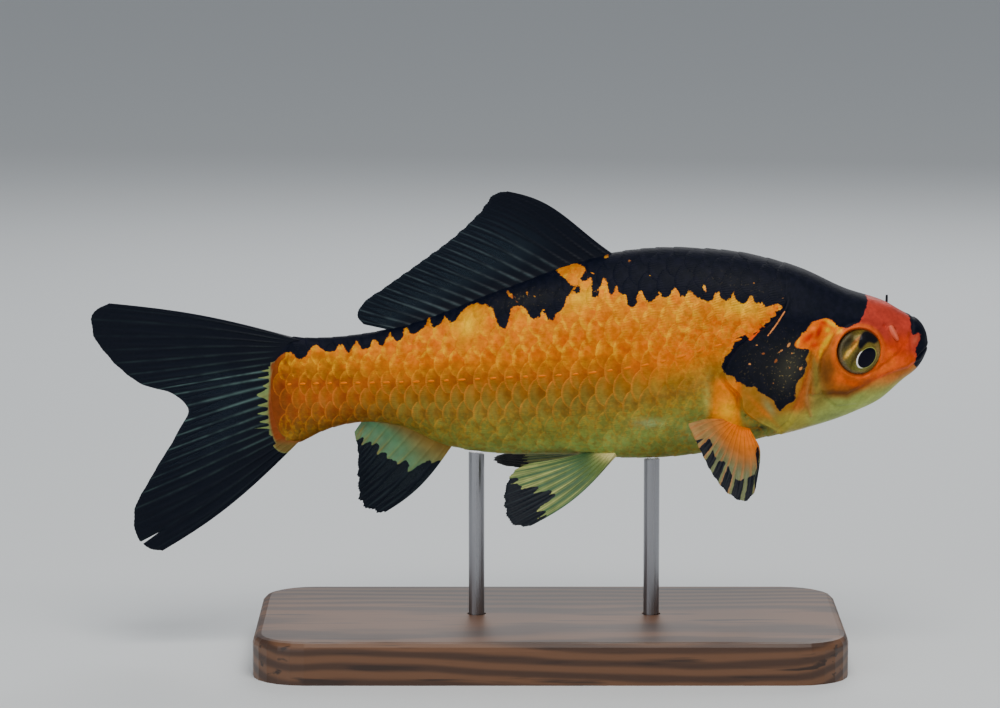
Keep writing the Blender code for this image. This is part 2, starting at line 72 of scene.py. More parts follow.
def through(knots, at):
    """Value at `at` of a curve through (place, value) knots: cubic pieces whose slope at each knot
    is that of its neighbours, so value = start + end parts weighted by 3t^2 - 2t^3."""
    place, value = np.array(knots, float).T
    slope = np.gradient(value, place)
    at = np.clip(at, place[0], place[-1])
    i = np.clip(np.searchsorted(place, at) - 1, 0, len(place) - 2)
    step = place[i + 1] - place[i]
    t = (at - place[i]) / step
    start = (1 + 2 * t) * (1 - t) ** 2 * value[i] + t * (1 - t) ** 2 * step * slope[i]
    end = t**2 * (3 - 2 * t) * value[i + 1] + t**2 * (t - 1) * step * slope[i + 1]
    return start + end


def rise(value, start, end):
    """0 before start, 1 after end, and 3t^2 - 2t^3 between them."""
    t = np.clip((value - start) / (end - start), 0, 1)
    return t * t * (3 - 2 * t)


def fall(value, start, end):
    """1 before start and 0 after end: one less the rise."""
    return 1 - rise(value, start, end)


def bump(value, width):
    """A bell: exp(-(value / width)^2)."""
    return np.exp(-((value / width) ** 2))


def closing(x, start, end, power):
    """sqrt(1 - t^power), with t the share of the way from start to end: a rounded nose."""
    share = np.clip((x - start) / (end - start), 0, 1)
    return np.sqrt(np.clip(1 - share**power, 0, 1))


def flank(x, angle):
    """The body's surface at x and at an angle round it (0 left, 90 back, 180 right): y = half width
    * cos^p and z = widest level + height * sin^p, both closed to a point at snout and tail."""
    x = np.asarray(x, float)
    snout = closing(x, SNOUT_FROM, SNOUT_X, 2.7)
    tail = closing(x, TAIL_FROM, TAIL_X, 2.6)
    top, low = (SNOUT_LEVEL + (through(line, x) - SNOUT_LEVEL) * snout for line in (BACK, BELLY))
    top, low = (TAIL_LEVEL + (edge - TAIL_LEVEL) * tail for edge in (top, low))
    half = through(HALF_WIDTH, x) * snout * tail
    widest = low + (top - low) * through(WIDEST_AT, x)
    up, out = np.sin(np.radians(angle)), np.cos(np.radians(angle))
    power = 2 / np.where(up > 0, through(FULLNESS_ABOVE, x), through(FULLNESS_BELOW, x))
    high = np.abs(up) ** power * np.where(up > 0, top - widest, low - widest)
    side = np.sign(out) * np.abs(out) ** power * half
    return np.stack(np.broadcast_arrays(x, side, widest + high), -1)


def outward(x, angle):
    """The body's unit normal: the cross product of its slopes round and along the body."""
    inner = np.clip(x, TAIL_X + 0.1, SNOUT_X - 0.1)
    along = flank(inner + 0.05, angle) - flank(inner - 0.05, angle)
    across = flank(inner, angle + 0.5) - flank(inner, angle - 0.5)
    normal = np.cross(across, along)
    return normal / np.maximum(np.linalg.norm(normal, axis=-1, keepdims=True), 1e-9)


def level_of(points):
    """The height at which points show from a little above on their own side: z - LOOKED_DOWN |y|."""
    return points[..., 2] - LOOKED_DOWN * np.abs(points[..., 1])


def folded(angle):
    """The angle above the flank's widest line, -90 to 90, whichever side it is on."""
    return np.degrees(np.arcsin(np.sin(np.radians(angle))))


def gill_edge(angle):
    """x of the gill opening's edge: a bell in the angle that reaches back from GILL_X, with a dent."""
    turn = folded(angle) + 13
    dent = 2.3 * bump(turn + 11, 9)
    return GILL_X - GILL_REACH * bump(turn, np.where(turn > 0, 26, 38)) + dent


def swung(points):
    """Points after the tail's swing to the left: y grows with the square of the way behind x = 10."""
    points = np.array(points, float)
    share = np.clip((10 - points[..., 0]) / 90, 0, None)
    points[..., 1] += 5 * share**2
    return points


def segment(x, z, start, end):
    """A segment's run and climb, and how far each point is off its nearest place, in x and in z."""
    run, climb = end[0] - start[0], end[1] - start[1]
    t = np.clip(((x - start[0]) * run + (z - start[1]) * climb) / max(run**2 + climb**2, 1e-9), 0, 1)
    return run, climb, x - start[0] - t * run, z - start[1] - t * climb


def line_distance(x, z, knots):
    """Distance to a line through (x, z) knots, above 0 on its left as it runs."""
    best = np.full(np.shape(x), 1e9)
    signed = best.copy()
    for start, end in zip(knots, knots[1:]):
        run, climb, off_x, off_z = segment(x, z, start, end)
        away = np.hypot(off_x, off_z)
        near = away < best
        signed = np.where(near, away * np.sign(run * off_z - climb * off_x), signed)
        best = np.where(near, away, best)
    return signed


def within(x, z, knots):
    """Depth inside a closed loop of (x, z) knots, below 0 outside. The loop is first rounded by a
    Catmull-Rom curve: each piece is a cubic through its two knots, with its neighbours' slopes."""
    p = np.array(knots, float)
    t = np.linspace(0, 1, 4, endpoint=False)[:, None, None]
    last, after, second = np.roll(p, 1, 0), np.roll(p, -1, 0), np.roll(p, -2, 0)
    curve = p + 0.5 * t * (after - last + t * (2 * last - 5 * p + 4 * after - second))
    curve = curve + 0.5 * t**3 * (3 * p - 3 * after + second - last)
    loop = curve.transpose(1, 0, 2).reshape(-1, 2)
    away = np.full(np.shape(x), 1e9)
    inside = np.zeros(np.shape(x), bool)
    for start, end in zip(loop, np.roll(loop, -1, 0)):
        run, climb, off_x, off_z = segment(x, z, start, end)
        away = np.minimum(away, np.hypot(off_x, off_z))
        if climb:
            inside ^= ((start[1] > z) != (end[1] > z)) & (x < run * (z - start[1]) / climb + start[0])
    return np.where(inside, away, -away)


def colour(red, green, blue):
    """A colour given as on a colour card, 0 to 255, as light: ((c + 0.055) / 1.055)^2.4."""
    card = np.array((red, green, blue)) / 255
    return np.where(card < 0.04, card / 12.92, ((card + 0.055) / 1.055) ** 2.4)


def plain(card, shape):
    """One colour at every point of this shape."""
    return np.broadcast_to(colour(*card), (*shape, 3))


def over(tint, share, added):
    """Lays a colour over a tint by the share at each point."""
    return tint + (colour(*added) - tint) * np.clip(share, 0, 1)[..., None]


def shaded(bands, at):
    """A colour at each place: straight blends between (place, red, green, blue) bands."""
    place = [band[0] for band in bands]
    cards = np.array([colour(*band[1:]) for band in bands])
    return np.stack([np.interp(at, place, card) for card in cards.T], -1)


def blot(x, level, place):
    """A soft leaning ellipse: exp(-(along / long)^2 - (across / short)^2), its lean in degrees above
    the way forward. The place is (x, level, long, short, lean)."""
    x0, level0, long, short, lean = place
    ahead, up = math.cos(math.radians(lean)), math.sin(math.radians(lean))
    along = (x - x0) * ahead + (level - level0) * up
    across = (level - level0) * ahead - (x - x0) * up
    return bump(np.hypot(along / long, across / short), 1)


LATERAL_LINE = (
    (-46, 52), (-40, 52.3), (-20, 52.8), (-1.5, 53.7), (17.5, 54.9), (29, 56.8), (38, 59.4), (52, 63.5),
)
# the colours of the flank by the height above the lateral line, from belly to back: the fish's own
# olive belly and orange sides, with painted shade darkening the lower flank and painted highlights
# brightening the upper flank
FLANK_AND_SHADING = (
    (-14, 160, 184, 94), (-12, 143, 150, 66), (-9, 138, 132, 52), (-6.5, 140, 116, 45), (-4, 148, 114, 38),
    (-2, 160, 104, 32), (0, 184, 108, 24), (2, 192, 104, 8), (4, 206, 100, 0), (6.5, 214, 102, 0),
    (9, 216, 110, 0), (12, 220, 122, 0),
)
STALK_AND_SHADING = (
    (-9, 130, 92, 32), (-6.5, 150, 86, 32), (-4, 168, 94, 32), (-2, 184, 100, 26), (0, 172, 90, 20),
    (2, 154, 86, 18), (4, 180, 104, 8), (7, 212, 112, 0),
)
SHOULDER_AND_SHADING = (
    (-12, 134, 146, 67), (-9, 138, 126, 46), (-6.5, 152, 112, 40), (-4, 172, 120, 32), (-2, 212, 118, 6),
    (0, 236, 118, 0), (2, 232, 110, 0), (4, 222, 104, 0), (6.5, 218, 114, 0), (9, 214, 122, 0),
)
# the black's outline, clockwise from the front of the nape
SADDLE = (
    (68, 72), (68, 68.7), (67.9, 67.5), (67, 65.5), (66.4, 64.3), (64, 63.4), (62.5, 63.6), (60.5, 64.9),
    (59.5, 64.9), (57.5, 64.4), (56.6, 63.2), (55.5, 62.2), (54.3, 61), (54.2, 59.6), (55.8, 59.1),
    (57, 58.9), (56.2, 57.5), (56.4, 56.5), (55.8, 54.4), (54.8, 53), (54.3, 51), (54.1, 49.5),
    (52.7, 48.8), (51.3, 47.4), (50.1, 49.5), (49, 50.4), (47.6, 51.1), (46.5, 52.1), (45.1, 52.3),
    (43.2, 53.1), (42.5, 54.1), (41, 54.4), (40.3, 55.5), (40.5, 56.5), (40.9, 58), (42, 59), (43, 60.8),
    (44.5, 62), (46.5, 62.7), (48.3, 64), (49.9, 66.3), (51.5, 67.6), (50.2, 67.5), (49, 67.2),
    (48.2, 67.5), (47.8, 68.7), (47.2, 68), (46.4, 68), (45.9, 69.5), (45, 68.1), (43.6, 68), (42.9, 68.8),
    (42.4, 70.6), (41.6, 68.6), (40.2, 68.3), (39.4, 70.6), (38.6, 68.5), (37.2, 68.3), (36.2, 68.9),
    (34.9, 69.4), (34.2, 71.3), (33.5, 69.4), (32.4, 69.3), (31.5, 71.4), (30.5, 69.3), (29.2, 69),
    (28.5, 70.5), (27.7, 68.7), (26.2, 68.1), (25.1, 70.6), (24.3, 69.2), (24.2, 67.7), (22.6, 67.6),
    (22.4, 69.6), (21, 69.9), (20.6, 71.6), (20.2, 69.9), (19.2, 69.7), (18.9, 71.2), (18.4, 73),
    (17.3, 70.8), (17, 69.3), (15.8, 69.3), (15.9, 71.5), (15.6, 72.9), (14.2, 72.3), (13.7, 73.2),
    (14.8, 74.4), (13.6, 75.5), (12, 75.9), (10.5, 75.6), (9.1, 74.3), (10.6, 72.8), (12, 71.6),
    (13.4, 71.2), (13.7, 70), (12.9, 69.9), (12.1, 70.3), (11.4, 69.6), (10.4, 67.4), (9.2, 66.2),
    (8.6, 65.1), (7.4, 65), (6.7, 67.1), (5.9, 65.1), (4.6, 65.1), (3.6, 66.6), (2.8, 67.4), (1.2, 67.4),
    (0.2, 66.2), (-0.3, 63.4), (-1.8, 63.4), (-2.4, 65.4), (-3.2, 67.2), (-5, 67.9), (-7, 67.9),
    (-8.8, 66.6), (-9.6, 65.2), (-10.4, 64.3), (-11.3, 64.3), (-11.9, 66.2), (-12.6, 64.5), (-13.6, 63.7),
    (-14.5, 63.7), (-15.1, 65.6), (-15.8, 63.6), (-17, 62.4), (-18.4, 62), (-19.5, 63.3), (-20.2, 61.2),
    (-21.4, 60.8), (-22.6, 62.7), (-23.5, 60.3), (-24.6, 60), (-25.5, 61.7), (-26.2, 59.7), (-27.6, 59.1),
    (-28.9, 60.8), (-29.7, 58.8), (-30.8, 58.7), (-31.9, 60.3), (-32.9, 58.9), (-34.8, 58.7), (-36.6, 60),
    (-37.9, 58.6), (-38.7, 57.3), (-40.2, 57.3), (-41.6, 58.4), (-43.5, 57.6), (-45.2, 56.4), (-46, 55),
    (-60, 54.5), (-60, 100), (68, 100),
)
LIPS_BLACK = (
    (76, 66.8), (76.2, 65.6), (76.4, 63.5), (76.9, 62), (77.9, 62.5), (78.4, 61.8), (78.2, 60.6),
    (77.5, 59.5), (77.3, 58), (77.4, 56.2), (79, 54), (84, 58), (84, 66), (79, 69),
)
# flecks in the black: a colour, then x, level, half length, half width and lean. The brown ones
# are marks in the skin; the pale ones are painted glints.
FLECKS_AND_GLINTS = (
    ((150, 84, 44), (
        (0.3, 69.9, 0.9, 0.35, 130), (1.3, 69, 0.6, 0.3, 120), (3.6, 70.2, 0.8, 0.35, 110),
        (5.2, 69, 0.6, 0.3, 100), (18.6, 77.1, 0.5, 0.3, 20), (23, 76.2, 0.6, 0.3, -10),
        (26.5, 72.5, 0.8, 0.3, 75), (33.4, 71.6, 0.35, 0.25, 60), (46.3, 72, 0.4, 0.28, 10),
        (16, 73.6, 0.4, 0.25, 80), (50.6, 57.2, 0.5, 0.2, 60), (48, 58.4, 0.4, 0.2, 30),
    )),
    ((226, 150, 84), (
        (37, 71, 0.9, 0.28, 112), (51.8, 68.7, 0.4, 0.25, 20), (45.5, 56.5, 0.25, 0.2, 0),
        (46.8, 60, 0.2, 0.18, 0), (51.3, 58.8, 0.5, 0.24, 40), (52.9, 60.1, 0.5, 0.22, 60),
        (53.6, 58.4, 0.2, 0.2, 0), (55.2, 55.5, 0.3, 0.2, 50), (53.2, 55.7, 0.25, 0.2, 0),
        (50, 52.8, 0.2, 0.2, 0),
    )),
)
# the gill cover's rim: a line, its half width and its colour. The pale line is a painted
# highlight where the thin rim catches the light; the red-orange one is the edge's own colour.
RIMS = (
    (((52.1, 66.4), (50.6, 64), (48.8, 61.7)), 0.13, (236, 142, 76)),
    (((51.6, 67.5), (49.9, 66), (47.5, 63.2), (45.6, 61.2)), 0.3, (226, 84, 0)),
)
CHEEK_SPOT = (
    (54.2, 59.6), (54.3, 61), (55.5, 62.2), (56.6, 63.3), (57.5, 64.5), (59.5, 65), (60.6, 65),
    (62.3, 63.8), (63.2, 62.9), (62.4, 62.2), (61.4, 62.2), (60.9, 61), (60.2, 59.6), (59, 58.2),
    (58.3, 56.6), (57.6, 58.4), (57, 59), (55.8, 59.1),
)
COVER_FRONT = ((57.2, 62), (57.5, 58.5), (57, 55.6), (55.9, 51.8), (54.6, 48.6), (53, 45.6), (51.4, 44.2))
RIDGES = (
    ((58, 58.4), (57.4, 55.4), (56.6, 52.4), (56.4, 49.4), (57.4, 46.6)),
    ((58.6, 57.4), (58.2, 54), (57.6, 50.6)),
)
CHEEK_REAR = (
    (61.8, 62.2), (60.8, 60), (59.4, 57.6), (59, 55), (59, 52), (60, 49.6), (62.2, 48), (66, 48.4),
)
CHEEK_FOLD = (
    (59.5, 50.6), (61.5, 50.6), (64.2, 50.4), (67, 51.8), (70, 53.4), (73, 54.5), (76, 55.4), (77.6, 56.6),
)
SNOUT_FOLD = ((67.2, 54.2), (68.5, 54.6), (71.5, 56.4), (74, 58.5), (75.4, 60.2), (76, 62.4))
EYE_X, EYE_Z, EYE_R, EYE_TALL = 66.4, 58.6, 4.15, 1.04  # the opening: its height is EYE_TALL widths
# what lies over the head's colour: x, level, half its length and its width, lean, share and colour;
# the pale one at x 26.4 on the lower flank is a painted sheen
HEAD_BLOTS = (
    (60, 54.6, 4, 1.9, 96, 1, 108, 62, 20), (58.2, 53.6, 4.8, 0.8, 96, 1, 124, 108, 42),
    (59.2, 50.2, 2.8, 1.3, 110, 0.8, 138, 120, 50), (64.6, 53, 2.4, 0.8, -12, 0.9, 216, 84, 10),
    (62.3, 57.6, 4.2, 0.5, 88, 0.7, 206, 94, 18), (62.9, 54, 1.2, 0.8, 60, 0.8, 230, 98, 8),
    (73.4, 54, 3, 1.1, 35, 0.8, 196, 104, 40), (72.3, 58.2, 0.8, 1, 20, 0.9, 238, 98, 6),
    (72.9, 56.8, 0.5, 0.7, 20, 0.7, 236, 98, 10), (74.3, 60.2, 2.4, 2, 0, 0.8, 212, 60, 8),
    (71.4, 55.6, 2.4, 0.8, 30, 0.6, 226, 108, 34), (69.4, 69, 2.6, 0.9, -24, 0.4, 196, 86, 72),
    (75.4, 64.4, 1.6, 1, 100, 0.4, 196, 58, 42), (77.4, 61.2, 0.9, 0.4, 60, 0.8, 214, 96, 66),
    (73, 62.2, 1.8, 0.7, 110, 0.4, 224, 96, 60), (56.6, 61.4, 1.5, 0.7, 40, 1.2, 200, 50, 0),
    (58.6, 62.6, 1.6, 0.6, 70, 1.2, 190, 44, 0), (57.8, 60, 1, 0.5, 20, 1, 196, 50, 0),
    (59.4, 64.2, 0.9, 0.4, 0, 1, 200, 56, 0), (61, 46.4, 5, 1, 12, 0.35, 140, 156, 92),
    (52.6, 46, 3.2, 1.1, 15, 0.8, 188, 172, 66), (47.6, 44, 1.8, 0.6, 5, 1.1, 50, 54, 40),
    (49.4, 48.2, 1.9, 0.7, -56, 0.7, 152, 158, 96), (48, 47.8, 4, 0.45, -44, 0.7, 214, 118, 24),
    (26.4, 45, 2.6, 0.8, 0, 0.6, 186, 206, 140), (35, 43, 3, 2, 0, 0.4, 140, 170, 110),
)
# painted highlights: soft yellow patches where the upper flank catches the light
YELLOW_HIGHLIGHTS = ((44, 67.2, 4.5, 1.8, -8), (-7.6, 64, 3.2, 2, 66), (14, 69, 3, 1.4, 30))
# painted glints: small yellow spots in the cheek spot and along the gill cover's rim
YELLOW_GLINTS = (
    (60.9, 64.1, 1.2, 0.32, -30), (60.3, 62.9, 0.45, 0.4, 0), (60.1, 60.7, 1.7, 0.42, 56),
    (62.6, 62.6, 0.6, 0.42, 50), (59, 58.6, 0.9, 0.25, 80), (49.6, 66, 0.5, 0.25, 50),
    (47.9, 63.9, 0.4, 0.25, 45), (55.7, 62.8, 0.45, 0.16, 50), (54.7, 60.6, 0.6, 0.16, 80),
)


def eye_ring(x, level):
    """Distance outside the eye's opening: an oval, drawn in by up to 0.5 mm in front and below."""
    ahead, up = x - EYE_X, (level - EYE_Z) / EYE_TALL
    away = np.hypot(ahead, up)
    toward = np.clip((0.96 * ahead - 0.28 * up) / away.clip(0.1), 0, 1)
    return away - EYE_R + 0.5 * toward**3


def paint(points):
    """The skin's colour and the black's depth (mm inside its edge, below 0 outside) at points of the
    body before its swing: bands by the height above the lateral line, with painted shade low down and
    painted highlights high up, then layers over them."""
    x, level = points[..., 0], level_of(points)
    above = level - through(LATERAL_LINE, x)
    tint = shaded(FLANK_AND_SHADING, above)
    for bands, share in ((STALK_AND_SHADING, fall(x, -34, -18)), (SHOULDER_AND_SHADING, rise(x, 16, 34))):
        tint = tint + (shaded(bands, above) - tint) * share[..., None]
    lobe = rise(x - 0.1 * (level - 50), 37.5, 39.4) * fall(x, 43, 44.4) * fall(level, 52.5, 54.5)
    edge = gill_edge_at(level)
    head = rise(x, edge - 0.3, edge + 0.5)
    cover, fold = line_distance(x, level, COVER_FRONT), line_distance(x, level, CHEEK_FOLD)
    throat = rise(-fold, -0.4, 1.2) * rise(x, 55.5, 60)
    face = rise(x + 0.35 * (level - 58), 62, 66)
    ring = eye_ring(x, level)

    def spots(places, share, card):
        """One colour in several soft spots."""
        return [(share * blot(x, level, place), card) for place in places]

    layers = (
        # the flank and the stalk with painted yellow highlights on the upper flank, and the fleshy root of
        # the breast fin with a pale line behind it
        *spots(YELLOW_HIGHLIGHTS, 0.9, (246, 188, 0)),
        (0.9 * fall(x, -44.5, -38) * rise(level, 42, 45), (128, 58, 16)),
        *spots([(-10, 53.6, 9, 1.6, 3)], 0.6, (128, 74, 18)),
        (0.8 * fall(x, -44, -41) * fall(level, 40.5, 42.5), (146, 132, 62)),
        *spots([(37.6, 49, 4.2, 0.6, 92)], 0.7, (186, 176, 84)),
        (head, (172, 116, 34)),
        (lobe, (224, 122, 0)),
        (lobe * rise(x, 42.6, 43.8), (200, 88, 8)),
        # painted highlights on the fleshy root of the breast fin
        *spots(((41.4, 47, 1.8, 2.2, 0), (42.5, 44.6, 1.6, 1.3, 0)), 1, (255, 186, 0)),
        # the gill cover's front, the throat and the face, then the lines between them
        (rise(cover, -0.9, 0.1) * head, (176, 94, 32)),
        (head * fall(level - 0.18 * (x - 50), 45, 47.6), (166, 154, 62)),
        (face, (222, 80, 16)),
        (face * rise(level + 0.4 * (x - 72), 58, 61.6), (178, 57, 42)),
        (throat, (162, 176, 88)),
        (throat * 0.9 * bump(fold, 1.5) * rise(x, 66, 71), (200, 92, 24)),
        # painted shade: a dark band along the cheek's fold, under the eye
        (0.85 * head * bump(fold - 0.4, 1.1) * fall(x, 67, 71) * rise(x, 59, 61), (112, 64, 20)),
        *((0.7 * head * bump(line_distance(x, level, ridge), 0.3), (182, 124, 64)) for ridge in RIDGES),
        (0.85 * head * rise(level, 46.6, 48.6) * bump(cover, 0.5), (180, 94, 36)),
        (0.55 * bump(line_distance(x, level, SNOUT_FOLD), 0.3), (150, 50, 16)),
        (rise(within(x, level, CHEEK_SPOT), -0.35, 0.35), (250, 116, 0)),
        *spots(YELLOW_GLINTS, 1.6, (255, 190, 0)),
        *((row[5] * blot(x, level, row[:5]), row[6:]) for row in HEAD_BLOTS),
        (0.75 * bump(ring - 0.75, 0.5), (226, 100, 24)),
        (0.7 * fall(np.abs(ring), 0.15, 0.4), (160, 72, 24)),
    )
    for share, card in layers:
        tint = over(tint, share, card)
    ink = np.maximum(within(x, level, SADDLE), within(x, level, LIPS_BLACK))
    for card, places in FLECKS_AND_GLINTS:
        for at_x, at_level, long, wide, lean in places:
            away = (x - at_x + 1j * (level - at_level)) * np.exp(-1j * math.radians(lean))
            away = (np.hypot(away.real / long, away.imag / wide) - 1) * wide
            tint = over(tint, fall(away, 0.1, 0.3), card)
            ink = np.minimum(ink, 2 * away)
    for line, half, card in RIMS:
        away = np.abs(line_distance(x, level, line)) - half
        tint = over(tint, fall(away, 0, 0.2), card)
        ink = np.minimum(ink, 3 * away)
    return tint, ink


def gill_edge_at(level):
    """The gill opening's edge by its height as seen from the side, from the flank's own formula."""
    turn = np.linspace(-85, 85, 120)
    edge = gill_edge(turn)
    return np.interp(level, level_of(flank(edge, turn)), edge)


def relief(points, angle):
    """How far the skin stands out from the body's own surface: steps and grooves along the lines of
    the head, a bowl for each eye, and a slit with a roll on each side of it for the mouth."""
    x, y, z = np.moveaxis(points, -1, 0)
    level = level_of(points)
    side = rise(np.abs(y), 1.5, 4)
    turn = folded(angle)
    open_part = rise(turn, -80, -62) * fall(turn, 22, 40)
    past = x - gill_edge(angle)
    out = open_part * (0.5 * rise(past, -0.12, 0.22) * fall(past, 5, 13) - 0.5 * bump(past + 0.5, 0.42))
    out += open_part * 0.12 * bump(past - 0.5, 0.35)
    out += side * 0.7 * rise(x, 37.5, 40) * bump(np.hypot((x - 41.6) / 3, (level - 48) / 5), 1)
    cover = line_distance(x, level, COVER_FRONT)
    out += side * (-0.3 * bump(cover, 0.28) + 0.26 * bump(cover - 0.8, 0.6))
    for ridge in RIDGES:
        away = line_distance(x, level, ridge)
        out += side * (0.16 * bump(away, 0.28) - 0.12 * bump(np.abs(away) - 0.6, 0.25))
    cheek = line_distance(x, level, CHEEK_REAR)
    out += side * (-0.24 * bump(cheek, 0.35) + 0.2 * bump(cheek - 0.9, 0.8))
    fold = line_distance(x, level, CHEEK_FOLD)
    out += side * (-0.22 * bump(fold, 0.45) + 0.26 * bump(fold - 0.9, 0.8))
    out += side * (-0.22 * bump(line_distance(x, level, SNOUT_FOLD), 0.28) * fall(x, 74.5, 76))
    ring = eye_ring(x, level)
    out += side * (0.34 * bump(ring - 0.5, 0.45) - 0.14 * bump(ring - 1.5, 0.4))
    out -= side * 2.4 * rise(-ring, -0.4, 0.6)
    for place in ((58, 62.6, 1.6, 0.8, 40), (60.3, 63.4, 1.4, 0.7, 20), (56, 60.8, 1, 0.7, 60)):
        out += side * 0.16 * blot(x, level, place)
    for spot_x, spot_z in ((72.9, 63.7), (71.6, 64.6)):
        out -= side * 0.7 * bump(np.hypot(x - spot_x, z - spot_z), 0.55)
    slit = (z - 60.1 - 0.733 * (x - 80.2)) * 0.81
    lips = rise(x, 76.6, 77.5)
    out += lips * (-0.2 * bump(slit, 0.13) + 0.08 * bump(np.abs(slit) - 0.5, 0.35))
    behind_lips = x - 76.3 - 0.16 * np.abs(z - 61.5)
    return out - 0.2 * bump(behind_lips, 0.35) * rise(z, 57.5, 59)


def ring_faces(rows, columns, around):
    """Quads of a grid, row by row. Around, its last column joins its first."""
    r, c = np.meshgrid(np.arange(rows - 1), np.arange(columns if around else columns - 1), indexing="ij")
    after = (c + 1) % columns
    quads = (r * columns + c, r * columns + after, (r + 1) * columns + after, (r + 1) * columns + c)
    return np.stack(quads, -1).reshape(-1, 4)


def end_caps(rows, columns):
    """The corners of the two faces that close a grid of rings."""
    return np.stack([np.arange(columns)[::-1], (rows - 1) * columns + np.arange(columns)])


def piece(name, points, quads, finish, caps=(), corners=None, values=None, sharp=40):
    """A mesh from points in mm, quads and end caps, with its bake map's corners and its own values:
    one number or one colour for each point."""
    mesh = bpy.data.meshes.new(name)
    faces = quads.tolist() + [list(map(int, cap)) for cap in caps]
    mesh.from_pydata((np.asarray(points) * 0.001).reshape(-1, 3).tolist(), [], faces)
    if corners is not None:
        places = np.zeros((len(mesh.loops), 2))
        flat = np.asarray(corners).reshape(-1, 2)
        places[: len(flat)] = flat
        mesh.uv_layers.new(name="OFBake").data.foreach_set("uv", places.ravel())
    for key, value in (values or {}).items():
        value = np.asarray(value, float)
        if key == "tint":
            held = mesh.attributes.new(key, "FLOAT_COLOR", "POINT")
            held.data.foreach_set("color", np.column_stack([value, np.ones(len(value))]).ravel())
        else:
            mesh.attributes.new(key, "FLOAT", "POINT").data.foreach_set("value", value.ravel())
    mesh.shade_smooth()
    mesh.set_sharp_from_angle(angle=math.radians(sharp))
    mesh.materials.append(finish)
    made = bpy.data.objects.new(name, mesh)
    bpy.context.scene.collection.objects.link(made)
    return made


def feed(node, **inputs):
    """Sets a node's inputs, each by its name or by its number after "in": to a value, or joined to a
    socket of another node."""
    for key, value in inputs.items():
        socket = node.inputs[int(key[2:]) if key[2:].isdigit() else key.replace("_", " ")]
        if isinstance(value, bpy.types.NodeSocket):
            node.id_data.links.new(value, socket)
        else:
            socket.default_value = value


def socketed(tree, kind, operation=None, **inputs):
    """A new node of this kind, with its inputs fed."""
    node = tree.nodes.new(kind)
    if operation:
        node.operation = operation
    feed(node, **inputs)
    return node


def sums(operation, first, second=0.5, clamp=False):
    """A math node's result, of a socket and another socket or a number, in either order."""
    given = first if isinstance(first, bpy.types.NodeSocket) else second
    node = socketed(given.id_data, "ShaderNodeMath", operation, in0=first, in1=second)
    node.use_clamp = clamp
    return node.outputs[0]


def times(first, second, clamp=False):
    """The product of two sockets or of a socket and a number."""
    return sums("MULTIPLY", first, second, clamp)


def scaled(tint, gain):
    """A colour times a number."""
    return socketed(tint.id_data, "ShaderNodeVectorMath", "SCALE", in0=tint, Scale=gain).outputs[0]


def mixed(share, *tones, way="MIX"):
    """A colour mixed from two, each a socket or a colour as light, by a share."""
    given = next(value for value in (share, *tones) if isinstance(value, bpy.types.NodeSocket))
    node = given.id_data.nodes.new("ShaderNodeMix")
    node.data_type, node.blend_type, node.clamp_factor = "RGBA", way, True
    first, second = (tone if isinstance(tone, bpy.types.NodeSocket) else (*tone, 1) for tone in tones)
    feed(node, in0=share, in6=first, in7=second)
    return node.outputs[2]


def ramped(value, start, end, low=0, high=1):
    """low where the value is under start, high where it is over end, and smooth between."""
    node = socketed(value.id_data, "ShaderNodeMapRange", in0=value, in1=start, in2=end, in3=low, in4=high)
    node.interpolation_type = "SMOOTHSTEP"
    return node.outputs[0]


def noise(tree, scale, detail=2, stretch=(1, 1, 1)):
    """Noise on the object's own coordinates, with this many waves to a metre."""
    place = socketed(tree, "ShaderNodeTexCoord").outputs["Object"]
    moved = socketed(tree, "ShaderNodeMapping", Vector=place, Scale=stretch).outputs[0]
    return socketed(tree, "ShaderNodeTexNoise", Vector=moved, Scale=scale, Detail=detail).outputs["Fac"]


def clouds(tree, scale, detail, start, end, low=0, high=1):
    """Noise as soft patches: low where it is under start, and high where it is over end."""
    return ramped(noise(tree, scale, detail), start, end, low, high)


def own(tree, name, what="Fac"):
    """A mesh's own value by name."""
    node = socketed(tree, "ShaderNodeAttribute")
    node.attribute_name = name
    return node.outputs[what]


def bumped(shader, height, strength, size):
    """Gives a shader a fine bump from a height, size metres deep."""
    raised = socketed(height.id_data, "ShaderNodeBump", Height=height, Strength=strength, Distance=size)
    feed(shader, Normal=raised.outputs[0])


def finish_of(name, **inputs):
    """A new material, its node tree and its Principled shader with these inputs."""
    made = bpy.data.materials.new(name)
    made.use_nodes = True
    shader = made.node_tree.nodes["Principled BSDF"]
    feed(shader, **inputs)
    return made, made.node_tree, shader


